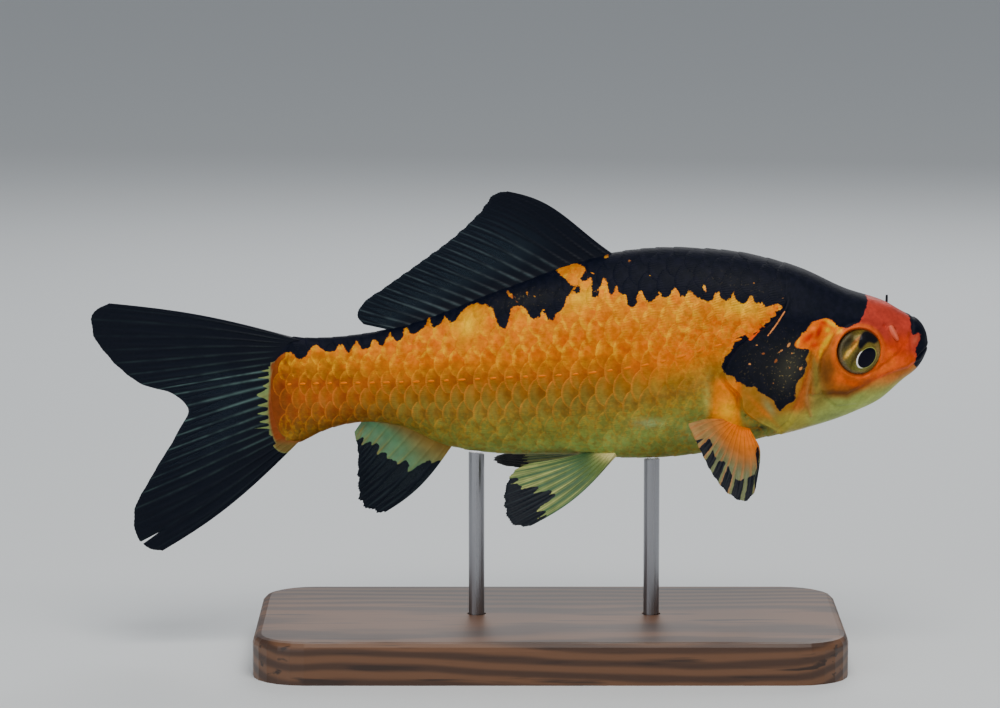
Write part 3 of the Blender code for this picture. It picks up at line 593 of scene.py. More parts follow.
def pigment_group():
    """Shared by skin and scales: lays black over a tint where the ink is above 0, with an edge that
    noise makes ragged, and where the glint is above 0 a painted grey-green sheen and pale painted
    glints in the black."""
    tree = bpy.data.node_groups.new("fish pigment", "ShaderNodeTree")
    for label, way, kind in (
        ("Tint", "INPUT", "Color"), ("Ink", "INPUT", "Float"), ("Glint", "INPUT", "Float"),
        ("Colour", "OUTPUT", "Color"), ("Black", "OUTPUT", "Float"),
    ):
        tree.interface.new_socket(label, in_out=way, socket_type=f"NodeSocket{kind}")
    given = tree.nodes.new("NodeGroupInput").outputs
    result = tree.nodes.new("NodeGroupOutput").inputs
    teeth = clouds(tree, 520, 2, 0.25, 0.75, -0.2, 0.2)
    fray = clouds(tree, 2400, 2, 0.25, 0.75, -0.1, 0.1)
    edge = sums("ADD", sums("ADD", given["Ink"], teeth), fray)
    black = ramped(edge, -0.10, 0.10)
    cloud = clouds(tree, 400, 4, 0.3, 0.7, 0.84, 1.12)
    mottle = clouds(tree, 1500, 3, 0.3, 0.7, 0.90, 1.09)
    lit = scaled(given["Tint"], times(cloud, mottle))
    dark = mixed(clouds(tree, 800, 3, 0.35, 0.75), colour(4, 9, 24), colour(14, 17, 33))
    # a painted grey-green sheen where the glint is above 0, then pale painted glints over it
    dark = mixed(times(given["Glint"], 0.4, True), dark, colour(66, 64, 52))
    fleck = clouds(tree, 2300, 3, 0.60, 0.72)
    flecks = times(fleck, given["Glint"], True)
    inked = mixed(flecks, dark, colour(128, 112, 70))
    tree.links.new(mixed(black, lit, inked), result["Colour"])
    tree.links.new(black, result["Black"])
    return tree


pigment = pigment_group()


def pigmented(tree, shader, tint, bump_height, bump_size, metallic, roughness):
    """Feeds the shader from the pigment group, a tint and the heights of a fine bump. Black parts
    are duller and have no metal."""
    laid = tree.nodes.new("ShaderNodeGroup")
    laid.node_tree = pigment
    feed(laid, Tint=tint, Ink=own(tree, "ink"), Glint=own(tree, "glint"))
    black = laid.outputs["Black"]
    feed(
        shader, Base_Color=laid.outputs["Colour"], Metallic=ramped(black, 0, 1, metallic, 0),
        Roughness=ramped(black, 0, 1, roughness, 0.52), Specular_IOR_Level=0.08,
    )
    bumped(shader, bump_height, 0.5, bump_size)


skin_finish, tree, shader = finish_of("wet fish skin")
pigmented(tree, shader, own(tree, "tint", "Color"), noise(tree, 1600, 4), 0.00012, 0.1, 0.4)

columns = 360
stations = np.concatenate([
    TAIL_FROM - 5.68 * np.sin(np.linspace(math.pi / 2, 0, 10, endpoint=False)),
    np.linspace(TAIL_FROM, 36, 60, endpoint=False),
    np.linspace(36, 52.2, 52, endpoint=False),
    np.linspace(52.2, 53.9, 16, endpoint=False),
    np.linspace(53.9, SNOUT_FROM, 108, endpoint=False),
    SNOUT_FROM + 3.99 * np.sin(np.linspace(0, math.pi / 2, 31)),
])
station, angle = np.meshgrid(stations, np.arange(columns) * 360 / columns, indexing="ij")
fades = np.clip(np.minimum((74 - station) / (74 - GILL_X), (station - 12) / (GILL_X - 12)), 0, 1)
ring_x = station - fades * (GILL_X - gill_edge(angle))
body = flank(ring_x, angle)
x, level = body[..., 0], level_of(body)
covered = fall(x, gill_edge(angle) - 1, gill_edge(angle) - 0.2)
lift = relief(body, angle) - COAT * covered - 0.1 * (1 - covered)
skin_points = swung(body + outward(ring_x, angle) * lift[..., None])
tint, ink = paint(body)
# where the gill patch's black gets a painted sheen and painted glints
glint = 1.4 * blot(x, level, (53.2, 55.6, 4, 2.2, 70)) + 0.4 * blot(x, level, (49.5, 57, 6, 5, 0))
rows = len(stations)
quads = ring_faces(rows, columns, True)
r, c = np.meshgrid(np.arange(rows - 1), np.arange(columns), indexing="ij")
along = np.concatenate([[0], np.cumsum(np.diff(stations) + 0.05)])
along = along / along[-1]
corner_c = np.stack([c, c + 1, c + 1, c], -1) / columns
corner_r = np.stack([along[r], along[r], along[r + 1], along[r + 1]], -1)
corners = np.stack([0.01 + 0.98 * corner_r, 0.01 + 0.98 * corner_c], -1)
skin = piece(
    "skin", skin_points, quads, skin_finish,
    caps=end_caps(rows, columns),
    corners=corners, values={"tint": tint.reshape(-1, 3), "ink": ink, "glint": glint},
)
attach(skin, "root")
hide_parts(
    "head", "jaw_lower", "lip_upper", "gill_cover_left", "gill_cover_right", "trunk", "tail_stalk"
)

# ---------------------------------------------------------------- the scales
# Thin bony plates like roof tiles, in slanting rows from the gill opening to the root of the tail.
# Each grows from a pocket in the skin at its front, lies on the next one behind, and has a thin
# clear rim. Left and right sides are one joined mesh each.
PITCH, PITCH_GROWS = 3.05, 0.012  # mm from one scale to the next along a row, and its growth per mm
ROW_SPACING = ((-46, 2.7), (-20, 3.2), (0, 3.5), (20, 3.72), (54, 3.75))
SCALE_RISE, SCALE_THICK, SCALE_WIDE = 0.18, 0.08, 0.93  # in mm, and half its width in row spacings
SCALE_ROWS = (0, 0.035, 0.11, 0.24, 0.42, 0.62, 0.82, 1)
SCALE_COLUMNS, SCALE_LONG = 9, 1.75  # a scale's length with its hidden root, in pitches
SIDES = (("left", 1), ("right", -1))  # each side's name and the sign of its y
MAP_START, MAP_LONG, MAP_GIRTH = -47, 102, 84  # the flank's part of the bake map, in mm
FIRST_TIP, LAST_TIP = -45.1, 52.6  # x of the rearmost and foremost tips

# girths round the flank at each x and angle, counted from the lateral line, and the angles they give
table_x = np.linspace(-46, 54, 201)
table_turn = np.linspace(-100, 100, 401)
table_t = np.linspace(-40, 40, 321)
walls = flank(table_x[:, None], table_turn[None])
girth = np.cumsum(np.linalg.norm(np.diff(walls, axis=1, prepend=walls[:, :1]), axis=-1), 1)
upright = slice(20, 381)  # the entries from -90 to 90 degrees
line_at = [
    np.interp(goal, level_row[upright], girth_row[upright])
    for goal, level_row, girth_row in zip(through(LATERAL_LINE, table_x), level_of(walls), girth)
]
girth -= np.array(line_at)[:, None]
turn_table = np.array([np.interp(table_t, girth_row, table_turn) for girth_row in girth])


def turn_at(x, t):
    """The angle round the body of a point t mm of girth above the lateral line: the table of girths,
    read backwards and blended between its four nearest entries."""
    i = np.clip((x - table_x[0]) / (table_x[1] - table_x[0]), 0, len(table_x) - 1.001)
    j = np.clip((t - table_t[0]) / (table_t[1] - table_t[0]), 0, len(table_t) - 1.001)
    i0, j0 = i.astype(int), j.astype(int)
    fi, fj = i - i0, j - j0
    near = turn_table[i0, j0] * (1 - fj) + turn_table[i0, j0 + 1] * fj
    far = turn_table[i0 + 1, j0] * (1 - fj) + turn_table[i0 + 1, j0 + 1] * fj
    return near * (1 - fi) + far * fi


def place_in_row(x):
    """How many scales lie between x = 0 and x: the integral of 1 / (PITCH + PITCH_GROWS x)."""
    return np.log(PITCH + PITCH_GROWS * x) / PITCH_GROWS


def x_in_row(n):
    """The x of place n in a row: place_in_row backwards."""
    return (np.exp(PITCH_GROWS * n) - PITCH) / PITCH_GROWS


def scale_roots():
    """The rear tip of each scale, as places (n, q) in the slanting rows. Rows with an odd q are half
    a scale forward. It leaves out the head, the fleshy root of the breast fin and the fish's edges."""
    n, q = np.meshgrid(np.arange(0, 34), np.arange(-10, 11), indexing="ij")
    n, q = (place_in_row(FIRST_TIP) + n + 0.5 * (q % 2)).ravel(), q.ravel()
    keep = x_in_row(n) < LAST_TIP
    n, q = n[keep], q[keep]
    tip_x = x_in_row(n)
    middle = x_in_row(n + 0.7)
    t = q * through(ROW_SPACING, middle)
    turn = turn_at(middle, t)
    tip_turn = turn_at(tip_x, q * through(ROW_SPACING, tip_x))
    level = level_of(flank(middle, turn))
    low, top = (np.interp(middle, table_x, girth[:, i]) for i in (upright.start, upright.stop - 1))
    keep = (t < top - 0.1) & (t > low + 0.3) & (tip_x < gill_edge(tip_turn) - 0.8)
    keep &= np.hypot((middle - 43.2) / 3.6, (level - 49) / 6.5) > 1
    keep &= tip_x > -45.3 + 0.035 * (flank(tip_x, tip_turn)[:, 2] - 50.5) ** 2 * 0.6
    return n[keep], q[keep]


def sheet_faces(rows, across):
    """Quads of a closed sheet: a front grid, a back grid after it, and a wall round their rim."""
    size = rows * across
    flat = ring_faces(rows, across, False)
    rim = np.concatenate([
        np.arange(across), np.arange(1, rows) * across + across - 1,
        (rows - 1) * across + np.arange(across - 2, -1, -1), np.arange(rows - 2, 0, -1) * across,
    ])
    after = np.roll(rim, -1)
    wall = np.stack([after, rim, rim + size, after + size], -1)
    return np.concatenate([flat, flat[:, ::-1] + size, wall])


scale_finish, tree, shader = finish_of("metallic scales")
edge, depth = own(tree, "edge"), own(tree, "depth")
rim = ramped(edge, 0, 0.11, 1, 0)
# the visible front of each scale, just behind the rim of the scale ahead, gets painted shade
front = ramped(edge, 0.20, 0.48, 0, 1)
middle = times(ramped(edge, 0.05, 0.14), ramped(edge, 0.20, 0.34, 1, 0))
toned = scaled(own(tree, "tint", "Color"), ramped(own(tree, "tone"), 0, 1, 0.93, 1.06))
shown = times(depth, clouds(tree, 900, 3, 0.3, 0.7, 0.5, 1))
# painted shade: the scale's tint darkened to red-brown where the rim ahead would shade it
deep = mixed(1, toned, (0.88, 0.62, 0.50), way="MULTIPLY")
green = mixed(1, toned, (0.88, 1.06, 1.2), way="MULTIPLY")
inner = mixed(times(middle, shown), toned, green)
inner = mixed(times(front, shown), inner, deep)
pale = mixed(0.5, toned, colour(240, 138, 44))
rimmed = mixed(times(rim, times(shown, 0.85)), inner, pale)
# painted golden glints on the upper flank, strongest near each scale's rim
high = own(tree, "high")
glow = times(ramped(edge, 0.02, 0.26, 1, 0.25), high)
gold_glints = times(clouds(tree, 800, 4, 0.36, 0.66, 0.2, 1), glow)
red = times(clouds(tree, 540, 3, 0.46, 0.70), times(high, 0.5))
tinted = mixed(gold_glints, mixed(red, rimmed, colour(212, 78, 0)), colour(236, 164, 0))
for scale, start, end, card in ((1150, 0.46, 0.64, (208, 152, 34)), (950, 0.48, 0.68, (154, 82, 16))):
    bits = times(clouds(tree, scale, 2, start, end, 0, 0.5), own(tree, "patchy"))
    tinted = mixed(bits, tinted, colour(*card))
wave = sums("SINE", times(own(tree, "fan"), 34))
ribs = times(wave, ramped(edge, 0, 0.4, 0.5, 0.1))
grain = sums("ADD", ribs, noise(tree, 2200, 2))
pigmented(tree, shader, tinted, grain, 0.00006, 0.3, 0.48)

for side, sign in SIDES:
    rng = np.random.default_rng(7 if sign > 0 else 11)
    n0, q0 = scale_roots()
    rows, across, count = len(SCALE_ROWS), SCALE_COLUMNS, len(n0)
    a = np.array(SCALE_ROWS)[:, None]
    b = np.linspace(-1, 1, across)[None]
    rear = 0.85 * (1 - np.sqrt(1 - (0.96 * b) ** 2))
    fore = SCALE_LONG - 0.35 * b**2
    n = n0[:, None, None] + rear + a * (fore - rear) + rng.normal(0, 0.035, count)[:, None, None]
    q = q0[:, None, None] + SCALE_WIDE * b * (1 - 0.12 * a) + rng.normal(0, 0.03, count)[:, None, None]
    x = np.clip(x_in_row(n), -46.1, 53.9)
    turn = turn_at(x, q * through(ROW_SPACING, x))
    size = ((PITCH + PITCH_GROWS * x) / 3.4).clip(0.6, 1.1)
    tilt = rng.normal(0, 0.010, count)[:, None, None] * b
    height = SCALE_RISE * size * (1 - 1.15 * a) - 0.09 * b**2 + 0.03 * np.sin(math.pi * a) + tilt - COAT
    height = height - 0.05 * (a == 0)
    normal = outward(x, turn)
    surface = flank(x, turn)
    top = surface + normal * height[..., None]
    low = surface + normal * (height - SCALE_THICK)[..., None]
    tint, ink = paint(surface)
    own_ink = np.clip(ink[:, 2, 4], -0.9, 0.9) + rng.normal(0, 0.12, count)
    ink = 0.95 * ink + 0.05 * own_ink[:, None, None]
    level = level_of(surface)
    # painted glints in the black of the back
    glint = 0.15 * blot(x, level, (44, 71.5, 9, 2, -10)) + 0.4 * blot(x, level, (4, 69, 6, 1.5, 10))
    above = level - through(LATERAL_LINE, x)
    # the upper flank, where the scales get painted golden glints, less inside the painted yellow highlights
    glowing = high = rise(above, -1, 5)
    for place in YELLOW_HIGHLIGHTS:
        glowing = glowing * (1 - 0.9 * blot(x, level, place))
    # how strongly the rims, the greenish middles and the painted pocket shade show: less high on the flank,
    # low on the belly and towards the head
    depth = (1 - 0.85 * high) * (1 - 0.6 * rise(-above, 5, 11)) * (1 - 0.6 * rise(x, 22, 34))
    both = np.stack([top, low], 1)
    both[..., 1] *= sign
    faces = sheet_faces(rows, across)[:, ::sign]
    quads = (faces[None] + (np.arange(count) * 2 * rows * across)[:, None, None]).reshape(-1, 4)
    mid_x = x_in_row(n0 + 0.9)
    home = np.stack([(mid_x - MAP_START) / MAP_LONG, 0.5 + q0 * through(ROW_SPACING, mid_x) / MAP_GIRTH], -1)
    local = np.stack(np.broadcast_arrays(a - 0.5, 0.5 * b), -1).reshape(-1, 2)
    patch = np.concatenate([local * 0.004, local * 0.001 + (0.003, 0)])
    places = home[:, None] + patch[None]
    patchy = np.maximum(0.7 * rise(x, 22, 36) * rise(above, -14, -8), 0.6 * rise(-above, 4, 8))
    held = {
        "ink": ink, "glint": glint, "edge": a * (fore - rear) / SCALE_LONG, "depth": depth, "high": glowing,
        "patchy": patchy, "fan": b * (1.4 - a), "tone": rng.random(count)[:, None, None],
    }
    held = {key: np.repeat(np.broadcast_to(value, x.shape)[:, None], 2, 1) for key, value in held.items()}
    held["tint"] = np.repeat(tint[:, None], 2, 1).reshape(-1, 3)
    corners = places.reshape(-1, 2)[quads.ravel()]
    scales = piece(f"scales_{side}", swung(both), quads, scale_finish, corners=corners, values=held)
    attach(scales, "root")

# ---------------------------------------------------------------- the lateral line
# A row of short tubes along each flank, one on each scale of the middle row, each a low orange bump.
pore_finish = finish_of(
    "lateral line", Base_Color=(*colour(222, 114, 0), 1), Roughness=0.4, Metallic=0.2,
    Specular_IOR_Level=0.08,
)[0]
PORE_ROWS, PORE_SIDES = 9, 8
PORE_AT, LAST_PORE = 0.36, 44  # how far a pore lies along its scale, in pitches, and the last one's x


def around(along, sides):
    """A tube's two measures at each point: the way along it, and the turn round it in radians."""
    return np.meshgrid(along, np.arange(sides) * 2 * math.pi / sides, indexing="ij")


for side, sign in SIDES:
    n0 = place_in_row(FIRST_TIP) + np.arange(1, 31)
    n0 = n0[x_in_row(n0) < LAST_PORE]
    t, ring = around(np.linspace(0.03, math.pi - 0.03, PORE_ROWS), PORE_SIDES)
    along = -(0.21 + 0.05 * np.sin(2.4 * n0))[:, None, None] * np.cos(t)
    n = n0[:, None, None] + PORE_AT + along
    x = x_in_row(n)
    turn = turn_at(x, np.broadcast_to(0.26 * np.sin(t) * np.cos(ring), x.shape))
    lift = SCALE_RISE * (1 - 1.15 * (PORE_AT + along) / SCALE_LONG) - COAT
    lift = lift + 0.02 + 0.12 * np.sin(t) * np.sin(ring)
    points = flank(x, turn) + outward(x, turn) * lift[..., None]
    points[..., 1] *= sign
    start = (np.arange(len(n0)) * PORE_ROWS * PORE_SIDES)[:, None]
    quads = (ring_faces(PORE_ROWS, PORE_SIDES, True)[:, ::-sign][None] + start[..., None]).reshape(-1, 4)
    caps = (start[..., None] + end_caps(PORE_ROWS, PORE_SIDES)[:, ::-sign]).reshape(-1, PORE_SIDES)
    pores = piece(f"lateral_line_{side}", swung(points), quads, pore_finish, caps=caps)
    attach(pores, "root")

# ---------------------------------------------------------------- the nostril flaps
# A thin leaf of skin stands between the two openings of each nostril. The left one is black and
# upright, and the right one is pale and hangs forward over its opening.
FLAP_X, FLAP_ROWS, FLAP_SIDES = 72.4, 16, 24


def against(points, way):
    """Whether the faces of a grid of points look against a way, judged by its second row."""
    return np.cross(points[1, 1] - points[1, 0], points[2, 0] - points[1, 0]) @ way < 0


for side, sign, angle_at, leaf, facing, wide, card in (
    ("left", 1, 42, (0.3, 0.4, 3.3), (1, 0, 0), 2, (14, 16, 26)),
    ("right", -1, 32, (1.4, 1.2, -2.3), (0, 1, 0.3), 1.3, (208, 88, 56)),
):
    flap_finish = finish_of(
        f"nostril flap {side}", Base_Color=(*colour(*card), 1), Roughness=0.4, Specular_IOR_Level=0.25
    )[0]
    foot_angle = angle_at if sign > 0 else 180 - angle_at
    foot = flank(FLAP_X, foot_angle) - 0.5 * outward(FLAP_X, foot_angle)
    up, turn = around(np.linspace(0, 1, FLAP_ROWS), FLAP_SIDES)
    round_off = np.sqrt(np.clip(1 - (0.97 * up) ** 3, 0, 1))
    leaf, facing = np.array(leaf) * (1, sign, 1), np.array(facing) * (1, sign, 1)
    flat_way = np.cross(leaf, facing)
    flat_way /= np.linalg.norm(flat_way)
    points = foot + leaf * (up * 1.12)[..., None]
    points = points + flat_way * (0.46 * wide * np.cos(turn) * round_off)[..., None]
    points = points + facing * (0.24 * np.sin(turn) * round_off - 0.3 * np.cos(turn) ** 2 * up)[..., None]
    quads = ring_faces(FLAP_ROWS, FLAP_SIDES, True)
    caps = end_caps(FLAP_ROWS, FLAP_SIDES)
    if against(points, points[1, 0] - foot - leaf * 0.07):
        quads, caps = quads[:, ::-1], caps[:, ::-1]
    flap = piece(f"nostril_flap_skin_{side}", points, quads, flap_finish, caps=caps)
    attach(flap, "root")
    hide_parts(f"nostril_flap_{side}")

# ---------------------------------------------------------------- the eyes
# A flattened ball with no lid. Round the black pupil runs a thin pale ring, wider and white on its
# rear side as a painted highlight, and round that the iris, golden and olive, with a dark part above
# and in front. The cornea is clear and wet.
BALL_X, BALL_Y, BALL_Z = 66.5, 5.6, 59.6
BALL_R, BALL_FLAT = 4.5, 0.72  # its radius, and its depth as a share of that
BALL_ROWS, BALL_SIDES = 110, 128
PUPIL_X, PUPIL_LEVEL, PUPIL_LEAN = 67.75, 57.6, 53
PUPIL_LONG, PUPIL_WIDE, PUPIL_MEAN = 2.1, 1.45, 1.7  # half its length and width, and its mean radius
DARK_IRIS = (
    (66, 60), (66.4, 61.6), (67.4, 62.7), (68.9, 62.3), (70, 61), (69.2, 60.3), (67.9, 60.5), (66.6, 59.3),
)
# soft spots in the iris: x, level, half its length and its width, lean, share and colour
IRIS_BLOTS = (
    (64, 60.6, 2.6, 1.3, 52, 1, 44, 38, 22), (65.6, 55.2, 2.2, 1.1, -16, 0.9, 120, 122, 52),
    (63.3, 56.2, 1.6, 0.6, 112, 0.9, 118, 134, 104), (65.8, 58.2, 1.9, 0.4, 62, 0.9, 48, 34, 14),
    (64.9, 59.2, 2, 0.26, 50, 1.3, 244, 166, 62), (64.1, 58.3, 0.8, 0.34, 60, 1.2, 250, 196, 84),
    (65.7, 60.9, 1.2, 0.22, 44, 0.9, 150, 84, 34), (64.9, 56.6, 1.5, 0.2, 80, 0.7, 62, 56, 22),
    (69.9, 59, 1.6, 0.4, 100, 0.8, 150, 118, 66), (66.6, 54.9, 1.6, 0.4, 8, 0.7, 142, 146, 80),
)

eye_finish, tree, shader = finish_of(
    "eye", Roughness=0.3, Specular_IOR_Level=0.05, Coat_Weight=0.10, Coat_Roughness=0.03
)
pupil, rear = own(tree, "pupil"), own(tree, "rear")
speckle = clouds(tree, 3200, 3, 0.3, 0.7, 0.75, 1.2)
iris = scaled(own(tree, "tint", "Color"), speckle)
# the ring turns white towards its rear side, and widens there: a painted highlight
ring_and_highlight = mixed(ramped(rear, 0.35, 0.75), colour(160, 164, 84), colour(255, 252, 244))
width = ramped(rear, 0.3, 0.95, -0.13, -0.30)
in_ring = times(sums("GREATER_THAN", pupil, width), ramped(pupil, -0.03, 0, 1, 0))
ringed = mixed(in_ring, iris, ring_and_highlight)
feed(
    shader, Base_Color=mixed(ramped(pupil, -0.05, 0), ringed, colour(4, 4, 22)),
    Metallic=ramped(pupil, -0.05, 0, 0.25, 0),
)

for side, sign in SIDES:
    turn, drop = math.radians(14), math.radians(8)
    ahead = np.array((math.cos(turn), -sign * math.sin(turn), 0))
    aside = np.array((math.sin(turn), sign * math.cos(turn), 0))
    axis = aside * math.cos(drop) - np.array((0, 0, math.sin(drop)))
    upward = np.cross(ahead, axis) * sign
    tilt, ring = around(np.linspace(0.004, math.pi - 0.004, BALL_ROWS), BALL_SIDES)
    points = np.array((BALL_X, sign * BALL_Y, BALL_Z))
    for way, reach in (
        (ahead, np.sin(tilt) * np.cos(ring)), (upward, np.sin(tilt) * np.sin(ring)),
        (axis, BALL_FLAT * np.cos(tilt)),
    ):
        points = points + way * (BALL_R * reach)[..., None]
    x, level = points[..., 0], level_of(points)
    lean = math.radians(PUPIL_LEAN)
    long_way = (x - PUPIL_X) * math.cos(lean) + (level - PUPIL_LEVEL) * math.sin(lean)
    rear_way = (level - PUPIL_LEVEL) * math.cos(lean) - (x - PUPIL_X) * math.sin(lean)
    away = np.hypot(long_way / PUPIL_LONG, rear_way / PUPIL_WIDE)
    rear = -0.98 * (x - PUPIL_X) - 0.12 * (level - PUPIL_LEVEL)
    tint = plain((112, 98, 40), x.shape)
    for row in IRIS_BLOTS:
        tint = over(tint, row[5] * blot(x, level, row[:5]), row[6:])
    tint = over(tint, rise(within(x, level, DARK_IRIS), -0.25, 0.25), (19, 19, 26))
    rim = np.hypot(x - BALL_X, (level - EYE_Z) / EYE_TALL)
    behind = 66.8 - x - 0.4 * (level - EYE_Z)
    tint = over(tint, 0.6 * bump(rim - 3.8, 0.3) * rise(behind, 0, 2), (146, 146, 118))
    tint = over(tint, rise(rim, 4.05, 4.3), (118, 66, 30))
    quads = ring_faces(BALL_ROWS, BALL_SIDES, True)
    caps = end_caps(BALL_ROWS, BALL_SIDES)
    if against(points, axis):
        quads, caps = quads[:, ::-1], caps[:, ::-1]
    rear = rear / np.hypot(long_way, rear_way).clip(0.3)
    eye = piece(
        f"eyeball_{side}", points, quads, eye_finish, caps=caps,
        values={"tint": tint.reshape(-1, 3), "pupil": PUPIL_MEAN - PUPIL_MEAN * away, "rear": rear},
    )
    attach(eye, "root")
    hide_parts(f"eye_{side}")

# ---------------------------------------------------------------- the fins
# Each fin is a thin web of skin held out by soft bony rays, which fork towards the margin. The web
# draws back a little between the rays' ends. At its root a fin is thick and grows out of the skin.


def way_along(points):
    """The length of a line of points up to each of them."""
    return np.cumsum(np.linalg.norm(np.diff(points, axis=0, prepend=points[:1]), axis=1))


def even_points(knots, count):
    """count points, evenly spaced, on a smooth curve through knots of two or three coordinates."""
    knots = np.array(knots, float)
    along = way_along(knots)
    fine = np.linspace(0, along[-1], 600)
    curve = np.stack([through(np.stack([along, c], 1), fine) for c in knots.T], 1)
    length = way_along(curve)
    at = np.linspace(0, length[-1], count)
    return np.stack([np.interp(at, length, c) for c in curve.T], 1)


def fin(
    name, roots, tips, rays, bow, web, flare, paint_fin, finish, nodes, wave=0, slit=None, rows=64,
    ragged=1, late=1,
):
    """A closed thin sheet: point = root + (tip - root) v + bow sin(pi v^late), thickened along its own
    normal by half the web, plus a round ridge on each ray, plus a flare at the root that fades as
    (1 - v)^6. A ray's ridge forks in two, then in four, as v goes from 0.35 to 1."""
    count = len(roots)
    u = np.linspace(0, 1, count)
    v = (1 - (1 - np.linspace(0, 1, rows)) ** 1.25)[:, None]
    ray = (u * rays) % 1 - 0.5
    first, second = 0.25 * rise(v, 0.35, 0.85), 0.125 * rise(v, 0.68, 1)
    ridge = 0
    for one, two in ((-1, -1), (-1, 1), (1, -1), (1, 1)):
        ridge = np.maximum(ridge, bump(ray[None] - one * first - two * second, 0.13 - 0.05 * v))
    serrated = 0.008 * np.sin(u * rays * 4 * math.pi) ** 2 + 0.006 * np.sin(37 * u + 1.3) ** 2
    reach = 1 - ragged * (0.014 * (1 - bump(ray, 0.3)) + serrated)
    if slit:
        reach = reach - slit[1] * bump(u - slit[0], slit[2])
    reach = 1 - (1 - reach)[None] * v**2
    length = np.linalg.norm(tips - roots, axis=1)[None, :, None]
    middle = roots[None] + (tips - roots)[None] * (v * reach)[..., None]
    middle = middle + np.array([bow(s) for s in u])[None] * np.sin(math.pi * v**late)[..., None]
    middle[..., 1] += wave * np.sin(2.2 * math.pi * u)[None] * v**2
    normal = np.cross(np.gradient(middle, axis=1), np.gradient(middle, axis=0))
    normal /= np.maximum(np.linalg.norm(normal, axis=-1, keepdims=True), 1e-9)
    half = 0.5 * web * (1 - 0.45 * v) + flare * (1 - v) ** 6
    half = half + (0.07 + 0.10 * (1 - v)) * ridge * rise(v, 0, 0.12)
    half = half * (1 - 0.75 * rise(v, 0.97, 1))
    front, back = middle + normal * half[..., None], middle - normal * half[..., None]
    faces = sheet_faces(rows, count)[:, ::-1 if against(front, normal[1, 0]) else 1]
    grid_u, grid_v = (np.broadcast_to(way, (rows, count)).ravel() for way in (u, v))
    place = np.concatenate([
        np.stack([start + 0.48 * grid_v, 0.01 + 0.98 * grid_u], -1) for start in (0.01, 0.51)
    ])
    gain = np.random.default_rng(rays).uniform(0.3, 1, rays + 1)[np.floor(u * rays).astype(int)]
    line = bump(ray[None], 0.15 - 0.10 * v) * gain * rise(v, 0.02, 0.12)
    phase = np.broadcast_to(np.abs(ray), (rows, count)).ravel()
    tint, dark, clear, lined = paint_fin(grid_u, grid_v, ridge.ravel(), phase, swung(middle).reshape(-1, 3))
    held = {
        "ink": dark, "clear": clear, "ray": ridge.ravel(), "joint": (v * length[..., 0]).ravel(),
        "line": line.ravel() * lined,
    }
    held = {key: np.tile(value, 2) for key, value in held.items()} | {"tint": np.tile(tint, (2, 1))}
    both = swung(np.stack([front, back]))
    made = piece(name, both, faces, finish, corners=place[faces.ravel()], values=held, sharp=60)
    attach(made, "root")
    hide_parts(*nodes)
    return made


def fin_finish(name, web_on_black, line_on_black, fray, alpha):
    """Black where the ink is above 0, with paler lines along its rays, and the fin's tint elsewhere.
    Thin clear parts let some light through."""
    made, tree, shader = finish_of(name, Roughness=0.5, Specular_IOR_Level=0.12)
    ink = sums("ADD", own(tree, "ink"), clouds(tree, 900, 3, 0.2, 0.8, -fray, fray))
    black = ramped(ink, -0.06, 0.06)
    on_black = mixed(own(tree, "clear"), colour(3, 8, 22), colour(*web_on_black))
    broken = times(own(tree, "line"), clouds(tree, 260, 3, 0.35, 0.65, 0.25, 1))
    on_black = mixed(broken, on_black, colour(*line_on_black))
    mottle = clouds(tree, 500, 3, 0.3, 0.7, 0.86, 1.1)
    lit = scaled(own(tree, "tint", "Color"), mottle)
    see_through = times(own(tree, "clear"), ramped(black, 0, 1, alpha, 0.06))
    solid = sums("SUBTRACT", 1, see_through, True)
    feed(shader, Base_Color=mixed(black, lit, on_black), Alpha=solid)
    joints = times(sums("SINE", times(own(tree, "joint"), 7)), own(tree, "ray"))
    bumped(shader, sums("ADD", joints, noise(tree, 1800, 2)), 0.3, 0.00006)
    return made


def flat_line(knots, count):
    """Evenly spaced points in the fish's middle plane, from (x, z) knots."""
    x, z = even_points(knots, count).T
    return np.stack([x, np.zeros(count), z], 1)


def profile_line(start, end, count, angle, lift):
    """Points along the body's back or belly line, lift mm outside it."""
    x = np.linspace(start, end, count)
    turn = np.full(count, float(angle))
    return flank(x, turn) + outward(x, turn) * lift


def seen_level(place):
    """As level_of, for a point of a middle fin, always from the right side: z + LOOKED_DOWN y."""
    return place[:, 2] + LOOKED_DOWN * place[:, 1]


def dark_fin(u, v, ridge, phase, place):
    """A black fin: its web is a little clearer in its outer two thirds, away from the front edge."""
    tint = plain((30, 34, 44), u.shape)
    clear = (1 - ridge) * rise(v, 0.15, 0.5) * rise(u, 0.05, 0.3)
    return tint, np.full(len(u), 1), clear, rise(u, 0.1, 0.4)


TAIL_ORANGE = (
    (-30, 57), (-43.8, 57.2), (-45.2, 54.6), (-45.5, 52), (-45.8, 48), (-45.4, 44), (-44.6, 41.6),
    (-43, 39.6), (-30, 36),
)
# the pale points at the root of the middle rays: level, half width and length
PALE_TEETH = (
    (55.2, 0.14, 1.6), (53.9, 0.16, 2.2), (52.3, 0.4, 1.1), (50.6, 0.8, 2.1), (48.6, 0.35, 2.3),
    (47, 0.35, 2.1), (45.4, 0.3, 1.9), (44.2, 0.15, 2.6),
)


